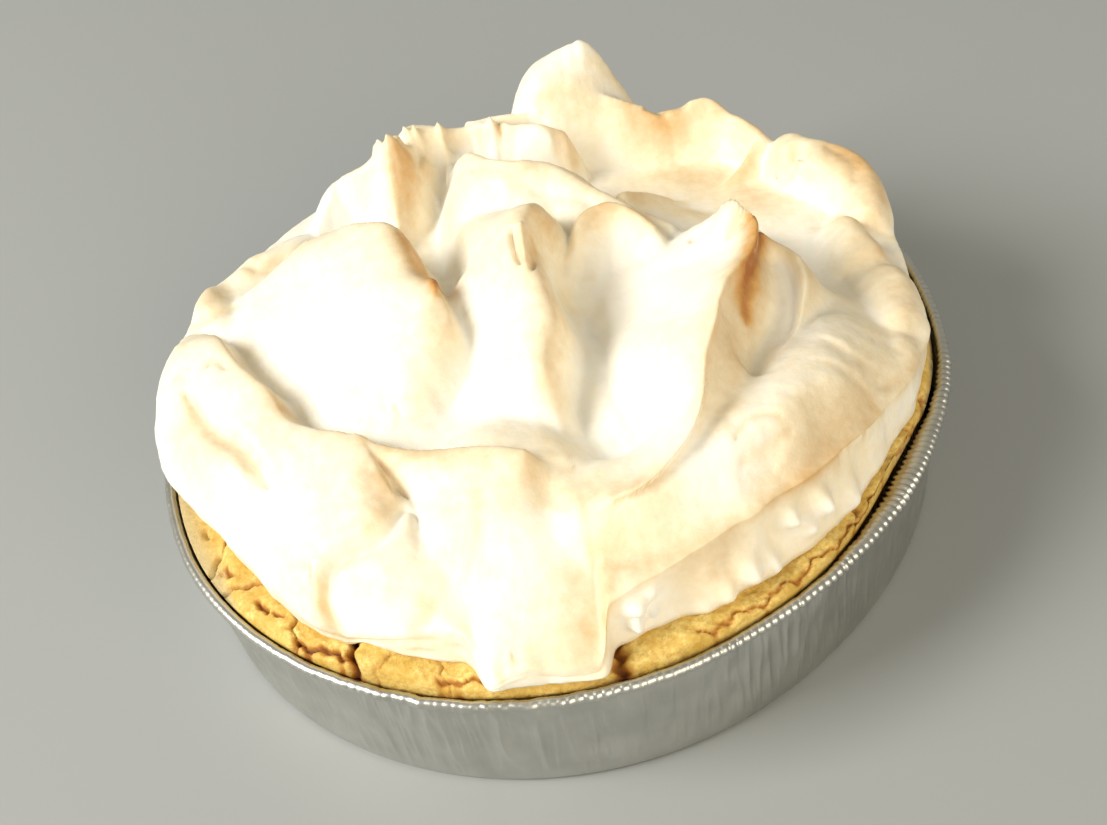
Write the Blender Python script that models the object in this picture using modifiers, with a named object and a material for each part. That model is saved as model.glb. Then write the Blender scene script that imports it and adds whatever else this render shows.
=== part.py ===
"""Lemon meringue pie in its crimped foil dish.

Three solids nest in one another: the turned foil dish, the baked pastry case with its
raised crumbly rim, and the meringue that was spread over it in swirls.

The frame is in metres, +Z up, with the origin in the middle of the dish's flat base.
The meringue and the crust are described in millimetres, because a cook would measure
them so, and MM turns them into metres.
"""
import math

import bmesh
import bpy
import numpy as np
from mathutils import Vector

MM = 0.001

# Foil dish
RIM_RADIUS = 85.0       # out to the rolled edge
RIM_HEIGHT = 30.4       # top of the rolled edge above the table
BASE_RADIUS = 80.0      # flat bottom, up to the start of its corner
CORNER = 1.5            # radius of the corner between bottom and wall
WALL_RADIUS = 82.6      # outside of the wall just under the rolled edge
FOIL = 0.6              # thickness of the modelled wall
BEAD = 1.1              # radius of the rolled edge
OVAL = 0.02             # the soft dish is this much longer one way than round
OVAL_TURN = math.radians(43)
PUSHED_IN = (-50, 0.018, 28)  # where the rim is pushed in: angle, share, half width
DISH_STEPS = 88

# Pastry case
GAP = 0.3               # clearance between touching pieces
CRUST_TOP = 32.5        # mean height of the crust's rim
CRUST_RADIUS = 81.4     # outside of the crust at its rim
CRUST_ROUND = 1.6       # rounding of the rim's two edges
RECESS_FLOOR = 28.0     # where the meringue sits
RECESS_RADIUS = 75.0    # widest inside of the crust's rim
CRUST_STEPS = 96

# Meringue
MERINGUE_REACH = 77.0   # mean radius of its widest line
BROW_HEIGHT = 41.0      # mean height of that widest line
DOME_TOP = 49.0         # height of the plain dome that the swirls are built on
DOME_FALL = 11.0        # how far that dome falls from the middle to DOME_RADIUS
DOME_RADIUS = 80.0
ROLL = 5.0              # width over which the top rolls over to the side
FOOT_OUT = -1.2         # how far its foot stands out from its widest line
OVERHANG = 0.7          # how far its side ends above the crust
FALL = 20.0             # a swirl's reach is the distance in which it falls this much
MELT = 0.8              # how softly neighbouring swirls run together
GRID = 120              # divisions of the sheet that becomes the meringue's top
KEEP = 0.155            # share of its faces that the solid keeps

# Lobes round the pie: angle, how far out or up, width before and width after it.
# EDGE and BROW shape the meringue's widest line, CRUST the rim's height, FOOT moves the
# lower end of its side outwards, HEM lifts that end, and ROLL widens the rolled edge.
EDGE_LOBES = [
    (-62, -5.5, 30, 30), (-15, 2.5, 12, 12), (18, 6.8, 12, 10), (157, 3, 9, 9),
    (188, 6, 20, 13), (234, 3.2, 18, 14), (255.5, 0.8, 1.2, 1.6),
]
BROW_LOBES = [
    (-60, 5.5, 30, 30), (20, 2, 12, 12), (160, 2, 16, 16), (195, -2, 14, 14),
    (232, -4.5, 24, 14), (255.5, -1.8, 1.2, 1.6), (260.5, 1.6, 1.5, 1.5),
    (268.5, -3.2, 6, 1.5),
]
CRUST_LOBES = [(-122, 2.0, 2, 7), (-96, -1.2, 9, 7), (-40, 0.3, 12, 12), (215, -1, 9, 12)]
FOOT_LOBES = [(-60, 5.2, 34, 28), (-114, 2.2, 9, 7)]
HEM_LOBES = [(-95, 1.5, 6, 5)]
ROLL_LOBES = [(-62, 5, 24, 30)]
# The flap that hangs over the crust at the front: first and last angle, reach, drop.
FLAP = (-106.5, -89.3, 6.6, 6.0)
FLAP_SOFT = (1.6, 0.6)

# Swirls: crest line (x, y, height), then reach and form of the left and right flank as
# seen when walking along the crest. Form 1 is a straight flank, below 1 a hollow one
# under a sharp crest, and above 1 a rounded one. Then the crest's softness and lean.
SWIRLS = {
    "back_peak": ([(16, 69, 66), (18.5, 69, 66.8)], (14.5, 2.3), (14.5, 2.3), 1.0, 0),
    "peak_tip": ([(18, 69, 66.5), (20.8, 69.3, 68.2)], (12, 1.7), (12, 1.7), 1.5, 0),
    "back_rim": ([(16, 60, 56), (24, 60, 58), (36, 57, 54), (45, 55, 54.5), (51.5, 53, 55.5),
                  (55.5, 46, 52), (60, 40, 48)], (12, 1.4), (10, 1.0), 1.2, 0),
    "back_left_rim": ([(14, 62, 56), (2, 60, 57), (-10, 58, 58), (-20, 60, 60)],
                      (9, 1.0), (14, 1.3), 1.2, 0),
    "ribbon": ([(-4, 58, 59), (14, 53, 58)], (5, 1.2), (6, 1.5), 0.8, 0),
    "saddle": ([(25, 30, 52), (38, 36, 48), (50, 38, 49), (57, 42, 50)],
               (12, 1.0), (12, 1.0), 1.5, 0),
    "knob": ([(66.5, 37, 53.5), (71, 32, 53.5), (74, 26, 52.5), (74.5, 18, 49.5)],
             (13, 2.0), (13, 2.4), 1.2, 0),
    "right_bump": ([(66, 9, 51), (69, 2, 49)], (12, 1.8), (16, 1.6), 1.2, 0),
    "right_side": ([(71, -8, 48), (70, -17, 47)], (14, 2.2), (16, 1.5), 1.2, 0),
    "right_low": ([(69, -28, 46), (64, -36, 44)], (12, 2.2), (18, 1.5), 1.2, 0),
    "mid_crest": ([(-14, 50, 57), (-2, 37, 62), (11, 33, 60.5), (21, 18, 57), (30, 12, 55)],
                  (11, 1.0), (24, 1.1), 1.2, 0),
    "swoop": ([(6, 4, 58), (12, 14, 59), (20, 15, 58.5), (27, 7, 57), (29, 0, 55)],
              (9, 1.1), (18, 0.8), 1.2, 0),
    "fin": ([(39, 0, 63.5), (41.5, -1, 66.8), (42.3, -8, 67.2), (33.3, -24, 66.5), (27, -37, 64),
             (22.5, -48, 60), (16, -56, 56), (7, -57, 53)], (17, 0.8), (27, 0.75), 1.0, -2.5),
    "fin_fold": ([(47.5, -4, 62.5), (51.3, -10, 60), (52.3, -17, 57), (50, -24, 54.5),
                  (46, -30, 53)], (6, 1.2), (10, 0.8), 0.9, 0),
    "ridge": ([(2, 15, 65), (2, 8, 68), (2, -8, 65), (1, -27, 58.5)],
              (8, 0.9), (30, 1.0), 1.5, 0),
    "dollop": ([(-42, 25, 57.5), (-34, 22, 62), (-26, 16, 63.5), (-22, 4, 62), (-21, -8, 60),
                (-25, -15, 56)], (8, 1.3), (44, 1.3), 1.5, -1.5),
    "leaf": ([(-47, 45, 48), (-40, 50.5, 54), (-31, 52.5, 59), (-25, 52, 65.5)],
             (12, 1.2), (12, 0.9), 0.8, 0),
    "left_lobe": ([(-73, 30, 48), (-70, 20, 47)], (14, 2.0), (14, 1.6), 1.2, 0),
    "left_lobe_back": ([(-62, 39, 47), (-52, 41, 48)], (13, 1.8), (13, 1.4), 1.2, 0),
    "left_peak": ([(-70, 8, 52), (-66, 2, 55), (-60, -11, 54), (-55, -20, 53),
                   (-48, -27, 52), (-38, -33, 52)], (11, 0.8), (34, 1.5), 1.2, -1),
    "low_crest": ([(-38, -33, 52), (-30, -37, 52.5), (-23, -42, 54), (-8, -48, 56)],
                  (11, 0.8), (16, 1.3), 1.2, -1),
    "left_mass": ([(-38, -36, 52), (-35, -46, 51.5), (-32, -51, 50.5), (-35, -55, 49.5),
                   (-43, -55.5, 48), (-48, -57, 46), (-49.5, -61, 43.5), (-48, -67, 40)],
                  (5, 1.1), (36, 1.8), 0.8, -0.8),
    "front": ([(-12, -46, 54), (-12, -60, 46), (-10, -76, 38)], (26, 2.0), (30, 2.0), 1.2, 0),
    "front_left": ([(-22, -50, 49), (-30, -60, 45.5), (-37, -68, 41)],
                   (15, 2.2), (15, 2.2), 1.5, 0),
    "sweep": ([(2, -54, 51), (20, -55, 54), (38, -44, 56), (52, -32, 54)],
              (40, 1.3), (18, 1.8), 1.2, 0),
}
# Furrows pressed into the swirls: line (x, y), depth, half width.
FURROWS = {
    "valley": ([(-18, 50), (-21, 38), (-21, 22), (-18, 8)], 10, 5),
    "back_hollow": ([(20, 47), (30, 44), (42, 38), (52, 26), (57, 8), (58, -2)], 7, 8),
    "between": ([(8, 7), (6, -8), (7, -22), (11, -40)], 7, 5),
    "fin_gap": ([(46.5, -10), (45.5, -18), (42, -26), (38, -34)], 3.5, 2.6),
    "front_fold": ([(-32.5, -50), (-37, -56.5), (-44, -58.5), (-46.3, -62), (-45.5, -67)],
                   2.8, 1.9),
}


# ---------------------------------------------------------------- shared helpers

def oval(angle):
    """Ratio of the soft dish's radius to a round one's: oval, and pushed in at one place."""
    at, much, width = PUSHED_IN
    off = (np.degrees(angle) - at + 180) % 360 - 180
    return 1 + OVAL * np.cos(2 * (angle - OVAL_TURN)) - much * np.exp(-(off / width) ** 2)


def lobed(angle, base, lobes):
    """A value round the pie: its base, plus soft lobes at given angles."""
    value = np.full_like(angle, float(base))
    for at, height, before, after in lobes:
        off = (np.degrees(angle) - at + 180) % 360 - 180
        width = np.where(off < 0, before, after)
        value += height * np.exp(-(off / width) ** 2)
    return value


def flap(angle):
    """1 where the front flap hangs, 0 elsewhere, with its own soft edges."""
    first, last = FLAP[:2]
    degrees = (np.degrees(angle) - first + 90) % 360 - 90
    rising = 1 / (1 + np.exp(-degrees / FLAP_SOFT[0]))
    falling = 1 / (1 + np.exp((degrees - (last - first)) / FLAP_SOFT[1]))
    return rising * falling


def edge_radius(angle):
    """Radius of the meringue's widest line."""
    return lobed(angle, MERINGUE_REACH, EDGE_LOBES) + FLAP[2] * flap(angle)


def brow_height(angle):
    """Height of that widest line above the table."""
    return lobed(angle, BROW_HEIGHT, BROW_LOBES) - FLAP[3] * flap(angle)


def recess_radius(angle):
    """Inside of the crust's rim; the flap hangs over it and leaves it as it is."""
    return np.minimum(lobed(angle, MERINGUE_REACH, EDGE_LOBES) - 0.9, RECESS_RADIUS)


def crust_height(angle):
    """The rim of the crust is crumbly: a few broad rises and many small ones."""
    broad = lobed(angle, CRUST_TOP, CRUST_LOBES)
    return broad + 0.35 * np.sin(9 * angle + 1) + 0.3 * np.sin(17 * angle)


def principled(name, colour, roughness, metallic=0.0):
    material = bpy.data.materials.new(name)
    material.use_nodes = True
    shader = material.node_tree.nodes["Principled BSDF"]
    shader.inputs["Base Color"].default_value = (*colour, 1)
    shader.inputs["Roughness"].default_value = roughness
    shader.inputs["Metallic"].default_value = metallic
    return material


def add_part(name, bm, material):
    """Turn a bmesh into one named object of the pie."""
    mesh = bpy.data.meshes.new(name)
    bm.to_mesh(mesh)
    bm.free()
    mesh.materials.append(material)
    mesh.shade_smooth()
    part = bpy.data.objects.new(name, mesh)
    bpy.data.collections["lemon_meringue_pie"].objects.link(part)
    return part


def profile(bm, points):
    """Edges through points (radius, height) in the XZ plane."""
    verts = [bm.verts.new((r * MM, 0, z * MM)) for r, z in points]
    for a, b in zip(verts, verts[1:]):
        bm.edges.new((a, b))
    return verts


# ---------------------------------------------------------------- the foil dish

def make_dish():
    """A turned wall with a rolled edge, drawn from the inside floor round to the base."""
    top = RIM_HEIGHT - 2 * BEAD
    bead_r = RIM_RADIUS - BEAD
    bead_z = RIM_HEIGHT - BEAD
    points = [(0, FOIL), (BASE_RADIUS - FOIL, FOIL)]
    points.append((BASE_RADIUS + CORNER - FOIL, CORNER + FOIL))
    points.append((WALL_RADIUS - FOIL, top))
    for step in range(9):
        turn = math.radians(200 - 30 * step)
        points.append((bead_r + BEAD * math.cos(turn), bead_z + BEAD * math.sin(turn)))
    points.append((WALL_RADIUS, top - 0.2))
    points.append((BASE_RADIUS + CORNER, CORNER))
    points.append((BASE_RADIUS + 0.4 * CORNER, 0.25 * CORNER))
    points += [(BASE_RADIUS, 0), (0, 0)]
    bm = bmesh.new()
    profile(bm, points)
    dish = add_part("foil_dish", bm, principled("foil", (0.62, 0.63, 0.64), 0.35, 1.0))
    screw = dish.modifiers.new("turn", "SCREW")
    screw.steps = DISH_STEPS
    screw.render_steps = DISH_STEPS
    screw.use_merge_vertices = True
    screw.merge_threshold = 0.00005
    dish.rotation_euler.z = OVAL_TURN
    dish.scale = (1 + OVAL, 1 - OVAL, 1)
    return dish


# ---------------------------------------------------------------- the pastry case

def make_pastry():
    """A solid tart with a raised rim, spun from its profile and then made uneven."""
    floor = FOIL + GAP
    shoulder = RIM_HEIGHT - 4 * BEAD
    rim = CRUST_TOP
    points = [(0, floor), (BASE_RADIUS - FOIL - GAP, floor)]
    points.append((BASE_RADIUS + CORNER - FOIL - GAP, floor + CORNER))
    points.append((WALL_RADIUS - FOIL - 2 * GAP, shoulder))
    points.append((CRUST_RADIUS, rim - CRUST_ROUND))
    points.append((CRUST_RADIUS - CRUST_ROUND, rim))
    points.append((RECESS_RADIUS + CRUST_ROUND, rim))
    points.append((RECESS_RADIUS, rim - CRUST_ROUND))
    points += [(RECESS_RADIUS, RECESS_FLOOR), (0, RECESS_FLOOR)]
    bm = bmesh.new()
    profile(bm, points)
    bmesh.ops.spin(bm, geom=bm.verts[:] + bm.edges[:], axis=(0, 0, 1), cent=(0, 0, 0),
                   dvec=(0, 0, 0), angle=math.tau, steps=CRUST_STEPS, use_merge=True)
    bmesh.ops.remove_doubles(bm, verts=bm.verts, dist=0.00002)
    bmesh.ops.recalc_face_normals(bm, faces=bm.faces)
    middle = (RECESS_RADIUS + CRUST_RADIUS) / 2 * MM
    for vert in bm.verts:
        angle = np.array(math.atan2(vert.co.y, vert.co.x))
        radius = math.hypot(vert.co.x, vert.co.y)
        if radius < 0.5 * middle:
            continue
        inside = radius < middle and vert.co.z > (RECESS_FLOOR - 1) * MM
        if inside:
            radius += (float(recess_radius(angle)) - RECESS_RADIUS) * MM
        if vert.co.z > (RECESS_FLOOR + 1) * MM:
            vert.co.z += (float(crust_height(angle)) - CRUST_TOP) * MM
        if not inside:
            radius *= float(oval(angle))
        vert.co.x = radius * math.cos(angle)
        vert.co.y = radius * math.sin(angle)
    return add_part("pastry_case", bm, principled("pastry", (0.72, 0.42, 0.08), 0.75))


# ---------------------------------------------------------------- the meringue

def smooth_line(points, run=1.5):
    """A smooth line through a few points (Catmull-Rom), in runs about this long."""
    points = np.array(points, float)
    longest = np.hypot(*np.diff(points[:, :2], axis=0).T).max()
    steps = math.ceil(longest / run)
    if len(points) == 2:
        share = np.linspace(0, 1, steps + 1)[:, None]
        return points[0] * (1 - share) + points[1] * share
    ends = (2 * points[0] - points[1], 2 * points[-1] - points[-2])
    whole = np.vstack([ends[0], points, ends[1]])
    t = np.linspace(0, 1, steps, endpoint=False)[:, None]
    runs = []
    for a, b, c, d in zip(whole, whole[1:], whole[2:], whole[3:]):
        curve = 2 * b + (c - a) * t + (2 * a - 5 * b + 4 * c - d) * t ** 2
        runs.append(0.5 * (curve + (3 * b - a - 3 * c + d) * t ** 3))
    runs.append(points[-1:])
    return np.vstack(runs)


def from_run(a, b, x, y):
    """How points x, y lie to the run a-b: share along it, distance, and side of it."""
    run = b[:2] - a[:2]
    length = max(float(np.hypot(*run)), 1e-6)
    share = np.clip(((x - a[0]) * run[0] + (y - a[1]) * run[1]) / length ** 2, 0, 1)
    away = np.hypot(x - a[0] - share * run[0], y - a[1] - share * run[1])
    side = (run[0] * (y - a[1]) - run[1] * (x - a[0])) / length
    return share, away, side, run / length


def swirl_surface(swirl, x, y):
    """Height of one swirl over x, y, with the crest height and heading it comes from."""
    line, left, right, soft, _ = swirl
    height = np.full(x.shape, -1000.0)
    crest = np.zeros(x.shape)
    heading = np.zeros((2,) + x.shape)
    path = smooth_line(line)
    for a, b in zip(path, path[1:]):
        share, away, side, along = from_run(a, b, x, y)
        leftness = np.clip(0.5 + 0.5 * side / np.maximum(away, 1e-6), 0, 1)
        reach = right[0] + (left[0] - right[0]) * leftness
        form = right[1] + (left[1] - right[1]) * leftness
        top = a[2] + share * (b[2] - a[2])
        here = top - FALL * ((np.hypot(away, soft) - soft) / reach) ** form
        higher = here > height
        height = np.where(higher, here, height)
        crest = np.where(higher, top, crest)
        heading[0] = np.where(higher, along[0], heading[0])
        heading[1] = np.where(higher, along[1], heading[1])
    return height, crest, heading


def meringue_top(x, y):
    """Height of the meringue over x, y, and how far its leaning crests shift there."""
    wander_x = x + np.sin(0.21 * y + 1.3) + 0.6 * np.sin(0.33 * x + 0.17 * y)
    wander_y = y + np.sin(0.19 * x + 0.4) + 0.6 * np.sin(0.29 * y - 0.13 * x + 2)
    dome = DOME_TOP - DOME_FALL * (np.hypot(x, y) / DOME_RADIUS) ** 3
    surfaces = [(swirl, *swirl_surface(swirl, wander_x, wander_y))
                for swirl in SWIRLS.values()]
    heights = np.array([dome] + [surface[1] for surface in surfaces])
    highest = heights.max(axis=0)
    height = highest + MELT * np.log(np.exp((heights - highest) / MELT).sum(axis=0))
    for line, depth, width in FURROWS.values():
        path = smooth_line(line)
        away = np.min([from_run(a, b, wander_x, wander_y)[1]
                       for a, b in zip(path, path[1:])], axis=0)
        height -= depth * np.exp(-(away / width) ** 2)
    shift = np.zeros((2,) + x.shape)
    for swirl, own, crest, heading in surfaces:
        near_crest = np.clip((own - crest + 6) / 6, 0, 1) ** 2
        on_top = np.clip(1 - (height - own) / 2, 0, 1)
        lean = swirl[4] * near_crest * on_top
        shift += lean * np.array([heading[1], -heading[0]])
    return height, shift


def make_meringue():
    """A flat sheet bent to the swirls, drawn down over its edge and closed below."""
    bm = bmesh.new()
    bmesh.ops.create_grid(bm, x_segments=GRID, y_segments=GRID, size=1)
    sheet = np.array([vert.co[:2] for vert in bm.verts]).T
    disc = sheet * np.sqrt(1 - sheet[::-1] ** 2 / 2)
    angle = np.arctan2(disc[1], disc[0])
    edge = edge_radius(angle)
    brow = brow_height(angle)
    out = np.hypot(*disc)
    width = lobed(angle, ROLL, ROLL_LOBES)
    roll = np.clip((out - 1) * edge / width + 1, 0, 1) * math.pi / 2
    radius = np.where(roll > 0, edge - width + width * np.sin(roll), out * edge)
    x, y = radius * np.cos(angle), radius * np.sin(angle)
    height, shift = meringue_top(x, y)
    z = brow + (np.maximum(height, brow + 0.5) - brow) * np.cos(roll)
    x, y = np.array([x, y]) + shift * np.cos(roll)
    for vert, place in zip(bm.verts, np.array([x, y, z]).T):
        vert.co = Vector(place) * MM
    draw_down(bm)
    meringue = add_part("meringue", bm, principled("meringue", (0.9, 0.82, 0.66), 0.6))
    thin = meringue.modifiers.new("thin", "DECIMATE")
    thin.ratio = KEEP
    return meringue


def draw_down(bm):
    """Extrude the sheet's edge down the side, in under it, and close the bottom."""
    edges = [edge for edge in bm.edges if edge.is_boundary]
    for share in (0.3, 0.7, 1.0, "foot", "floor"):
        made = bmesh.ops.extrude_edge_only(bm, edges=edges)["geom"]
        edges = [item for item in made if isinstance(item, bmesh.types.BMEdge)]
        verts = [item for item in made if isinstance(item, bmesh.types.BMVert)]
        for vert in verts:
            angle = np.array(math.atan2(vert.co.y, vert.co.x))
            edge = float(edge_radius(angle))
            brow = float(brow_height(angle))
            under = float(crust_height(angle) + lobed(angle, OVERHANG, HEM_LOBES))
            foot = float(recess_radius(angle)) - 2 * GAP
            if share == "foot":
                radius, z = foot, under
            elif share == "floor":
                radius, z = foot, RECESS_FLOOR + GAP
            else:
                radius = edge + float(lobed(angle, FOOT_OUT, FOOT_LOBES)) * share ** 2
                z = brow + (under - brow) * share
            vert.co = Vector((radius * math.cos(angle), radius * math.sin(angle), z)) * MM
    bmesh.ops.edgeloop_fill(bm, edges=edges)
    bmesh.ops.recalc_face_normals(bm, faces=bm.faces)


# ---------------------------------------------------------------- the whole pie

def main():
    for old in list(bpy.data.objects):
        bpy.data.objects.remove(old)
    pie = bpy.data.collections.new("lemon_meringue_pie")
    bpy.context.scene.collection.children.link(pie)
    make_dish()
    make_pastry()
    make_meringue()


main()
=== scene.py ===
# %% [markdown]
# # A lemon meringue pie in its foil dish
# The pie is three things nested in one another: a pressed foil dish, a case of
# shortcrust pastry, and a deep layer of meringue that somebody spread over it with
# the back of a spoon. The solids of all three are already there as a fixed frame.
# Here each is dressed: same size, same place, with the fine surface that food has.

# %% Load the frame
import math

import bmesh
import bpy
import numpy as np
from mathutils import Matrix, Vector, noise


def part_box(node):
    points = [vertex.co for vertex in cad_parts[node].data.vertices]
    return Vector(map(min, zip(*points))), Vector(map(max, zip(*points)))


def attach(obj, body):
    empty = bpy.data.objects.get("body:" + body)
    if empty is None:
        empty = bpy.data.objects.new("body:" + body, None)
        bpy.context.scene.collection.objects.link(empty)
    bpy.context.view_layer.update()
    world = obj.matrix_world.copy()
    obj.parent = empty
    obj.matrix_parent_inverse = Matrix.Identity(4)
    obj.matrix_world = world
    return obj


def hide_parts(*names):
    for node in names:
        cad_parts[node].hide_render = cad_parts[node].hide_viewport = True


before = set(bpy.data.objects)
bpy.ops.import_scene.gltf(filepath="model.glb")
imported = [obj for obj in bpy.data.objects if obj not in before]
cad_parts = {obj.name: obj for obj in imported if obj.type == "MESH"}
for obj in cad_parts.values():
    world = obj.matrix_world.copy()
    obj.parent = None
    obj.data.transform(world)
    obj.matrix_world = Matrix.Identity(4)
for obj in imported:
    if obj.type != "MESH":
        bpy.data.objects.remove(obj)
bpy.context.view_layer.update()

print("nodes in the frame:", sorted(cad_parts))

# %% [markdown]
# Blender measures in metres, while a cook measures a pie in millimetres. All sizes
# below are in millimetres and MM turns them into metres at the last moment. The
# rim's size is read from the frame, so that the dressing fits its solid.

# %% Sizes taken from the frame
MM = 0.001
dish_low, dish_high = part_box("foil_dish")
RIM_HEIGHT = dish_high[2] / MM
RIM_RADIUS = (dish_high[0] - dish_low[0] + dish_high[1] - dish_low[1]) / 4 / MM
OVAL = 0.02                   # the soft dish is this much longer one way than round
OVAL_TURN = math.radians(43)
PUSHED_IN = (-50, 0.018, 28)  # where its rim is pushed in: angle, share, half width
print(f"rim: radius {RIM_RADIUS:.1f} mm, height {RIM_HEIGHT:.1f} mm")

# %% [markdown]
# Colours are easiest to match as the hex numbers of a colour picker, but shaders
# work with linear light. One small function turns the first into the second. A
# second function adds a node to a material with its settings and links. The scale of
# a noise is how often it repeats in a metre, so a third works it out from a real size.

# %% Colour and node helpers
def linear(code):
    """A hex colour such as 'E3BC82' as linear RGBA."""
    parts = [int(code[i:i + 2], 16) / 255 for i in (0, 2, 4)]
    light = [c / 12.92 if c <= 0.04045 else ((c + 0.055) / 1.055) ** 2.4 for c in parts]
    return (*light, 1.0)


def add_node(tree, kind, inputs, **settings):
    """Add a node. Inputs map a socket's name or number to a value or to a socket."""
    made = tree.nodes.new(kind)
    for name, value in settings.items():
        setattr(made, name, value)
    for socket, value in inputs.items():
        if isinstance(value, bpy.types.NodeSocket):
            tree.links.new(value, made.inputs[socket])
        else:
            made.inputs[socket].default_value = value
    return made


def scale_for(size):
    """The noise scale that gives a pattern of this size in millimetres."""
    return 1 / (size * MM)


def blank_material(name):
    """A new material with only its output node."""
    material = bpy.data.materials.new(name)
    material.use_nodes = True
    material.node_tree.nodes.clear()
    return material, material.node_tree


print("a warm white in linear light:", [round(c, 3) for c in linear("FBF3E0")[:3]])

# %% [markdown]
# The camera looks down at the pie from the front at about 44 degrees, a little
# rolled, as someone does who leans over a kitchen worktop. It is aimed at a point
# just behind the middle of the dish.

# %% Camera
AIM = Vector((-0.8, 19.5, 0)) * MM
DISTANCE = 360 * MM
ELEVATION = math.radians(43.8)
ROLL = math.radians(-11)
camera = bpy.data.objects.new("camera", bpy.data.cameras.new("camera"))
camera.data.lens = 48.8
camera.data.sensor_width = 36
camera.data.clip_start = 0.01
away = Vector((0, -math.cos(ELEVATION), math.sin(ELEVATION)))
tilt = Matrix.Rotation(math.pi / 2 - ELEVATION, 4, "X") @ Matrix.Rotation(ROLL, 4, "Z")
camera.matrix_world = Matrix.Translation(AIM + DISTANCE * away) @ tilt
bpy.context.collection.objects.link(camera)
bpy.context.scene.camera = camera
print("camera at", [round(c, 3) for c in camera.matrix_world.translation])

# %% [markdown]
# A plain pale worktop carries the pie. One large soft light stands to the left, as
# a window would. A weaker and warmer one in front, at the right, is the light that a
# wall throws back, and a pale room all round fills what is left of the shadows. Light
# that is soft and low brings out swirls, because each ridge has a bright side and a
# shaded side.

# %% Worktop
HALF_WORKTOP = 1.6            # metres from its middle to its edge

bm = bmesh.new()
bmesh.ops.create_grid(bm, x_segments=1, y_segments=1, size=HALF_WORKTOP)
floor_mesh = bpy.data.meshes.new("worktop")
bm.to_mesh(floor_mesh)
bm.free()
worktop = bpy.data.objects.new("worktop", floor_mesh)
bpy.context.collection.objects.link(worktop)
laminate, tree = blank_material("matt pale laminate")
shader = add_node(tree, "ShaderNodeBsdfPrincipled", {
    "Base Color": linear("9FA3A4"), "Roughness": 0.55})
add_node(tree, "ShaderNodeOutputMaterial", {"Surface": shader.outputs[0]})
floor_mesh.materials.append(laminate)
print("worktop is", 2 * HALF_WORKTOP, "m square")


# %% Lights
LIT_POINT = Vector((0, 0, 0.04))


def area_light(name, place, size, power, colour):
    """A square soft light at a place, turned to the middle of the pie."""
    lamp = bpy.data.lights.new(name, "AREA")
    lamp.shape = "SQUARE"
    lamp.size = size
    lamp.energy = power
    lamp.color = linear(colour)[:3]
    holder = bpy.data.objects.new(name, lamp)
    turn = (LIT_POINT - Vector(place)).to_track_quat("-Z", "Y").to_matrix().to_4x4()
    holder.matrix_world = Matrix.Translation(place) @ turn
    bpy.context.collection.objects.link(holder)
    return holder


key = area_light("window", (-1.15, -0.22, 0.95), 0.7, 25, "FFFBF4")
fill = area_light("warm wall", (0.6, -1.3, 0.5), 1.2, 15, "FFF1DA")
world = bpy.data.worlds.new("room")
world.use_nodes = True
room_light = world.node_tree.nodes["Background"]
room_light.inputs["Color"].default_value = linear("EFEADA")
room_light.inputs["Strength"].default_value = 0.46
bpy.context.scene.world = world
bpy.context.scene.view_settings.view_transform = "Standard"
print("lights:", key.name, "and", fill.name)

# %% [markdown]
# ## Finding the way round the pie
# Most sizes of the pie depend only on the direction: how far the meringue reaches,
# how high the crust stands, how long the soft dish has been squeezed. So each of
# them is a function of the angle: a base value plus a few soft lobes. A lobe is its
# angle in degrees, its height, and its half width before and after that angle.

# %% Sizes that change round the pie
MERINGUE_REACH = 77.0   # mean radius of the meringue's widest line
BROW_HEIGHT = 41.0      # mean height of that widest line
FOOT_OUT = -1.2         # how far its foot stands out from its widest line
ROLL = 5.0              # width over which the top rolls over to the side
OVERHANG = 0.4          # how far its side ends above the crust
CRUST_TOP = 32.5        # mean height of the crust's rim
RECESS_RADIUS = 75.0    # widest inside of that rim
EDGE_LOBES = [
    (-62, -5.5, 30, 30), (-15, 2.5, 12, 12), (18, 6.8, 12, 10), (157, 3, 9, 9),
    (188, 6, 20, 13), (234, 3.2, 18, 14), (255.5, 0.8, 1.2, 1.6),
]
BROW_LOBES = [
    (-60, 5.5, 30, 30), (20, 2, 12, 12), (160, 2, 16, 16), (195, -2, 14, 14),
    (232, -4.5, 24, 14), (255.5, -1.8, 1.2, 1.6), (260.5, 1.6, 1.5, 1.5),
    (268.5, -3.2, 6, 1.5),
]
FOOT_LOBES = [(-60, 5.2, 34, 28), (-114, 2.2, 9, 7)]
ROLL_LOBES = [(-62, 5, 24, 30)]
HEM_LOBES = [(-95, 1.5, 6, 5)]
CRUST_LOBES = [(-122, 2.0, 2, 7), (-96, -1.2, 9, 7), (-40, 0.3, 12, 12), (215, -1, 9, 12)]
# The flap that hangs over the crust at the front: first and last angle, reach, drop.
FLAP = (-106.5, -89.3, 6.6, 6.0)
FLAP_SOFT = (0.8, 0.4)
print("the meringue's edge has", len(EDGE_LOBES), "lobes and one flap")


# %% How to read those sizes in a direction
def degrees_from(angle, at):
    """Degrees from a direction to each angle, the short way round."""
    return (np.degrees(angle) - at + 180) % 360 - 180


def oval(angle):
    """Ratio of the soft dish's radius to a round one's: oval, and pushed in at one place."""
    at, much, width = PUSHED_IN
    dent = much * np.exp(-(degrees_from(angle, at) / width) ** 2)
    return 1 + OVAL * np.cos(2 * (angle - OVAL_TURN)) - dent


def lobed(angle, base, lobes):
    """A value round the pie: its base, plus soft lobes at given angles."""
    value = np.full_like(angle, float(base))
    for at, height, before, after in lobes:
        off = degrees_from(angle, at)
        width = np.where(off < 0, before, after)
        value += height * np.exp(-(off / width) ** 2)
    return value


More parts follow.
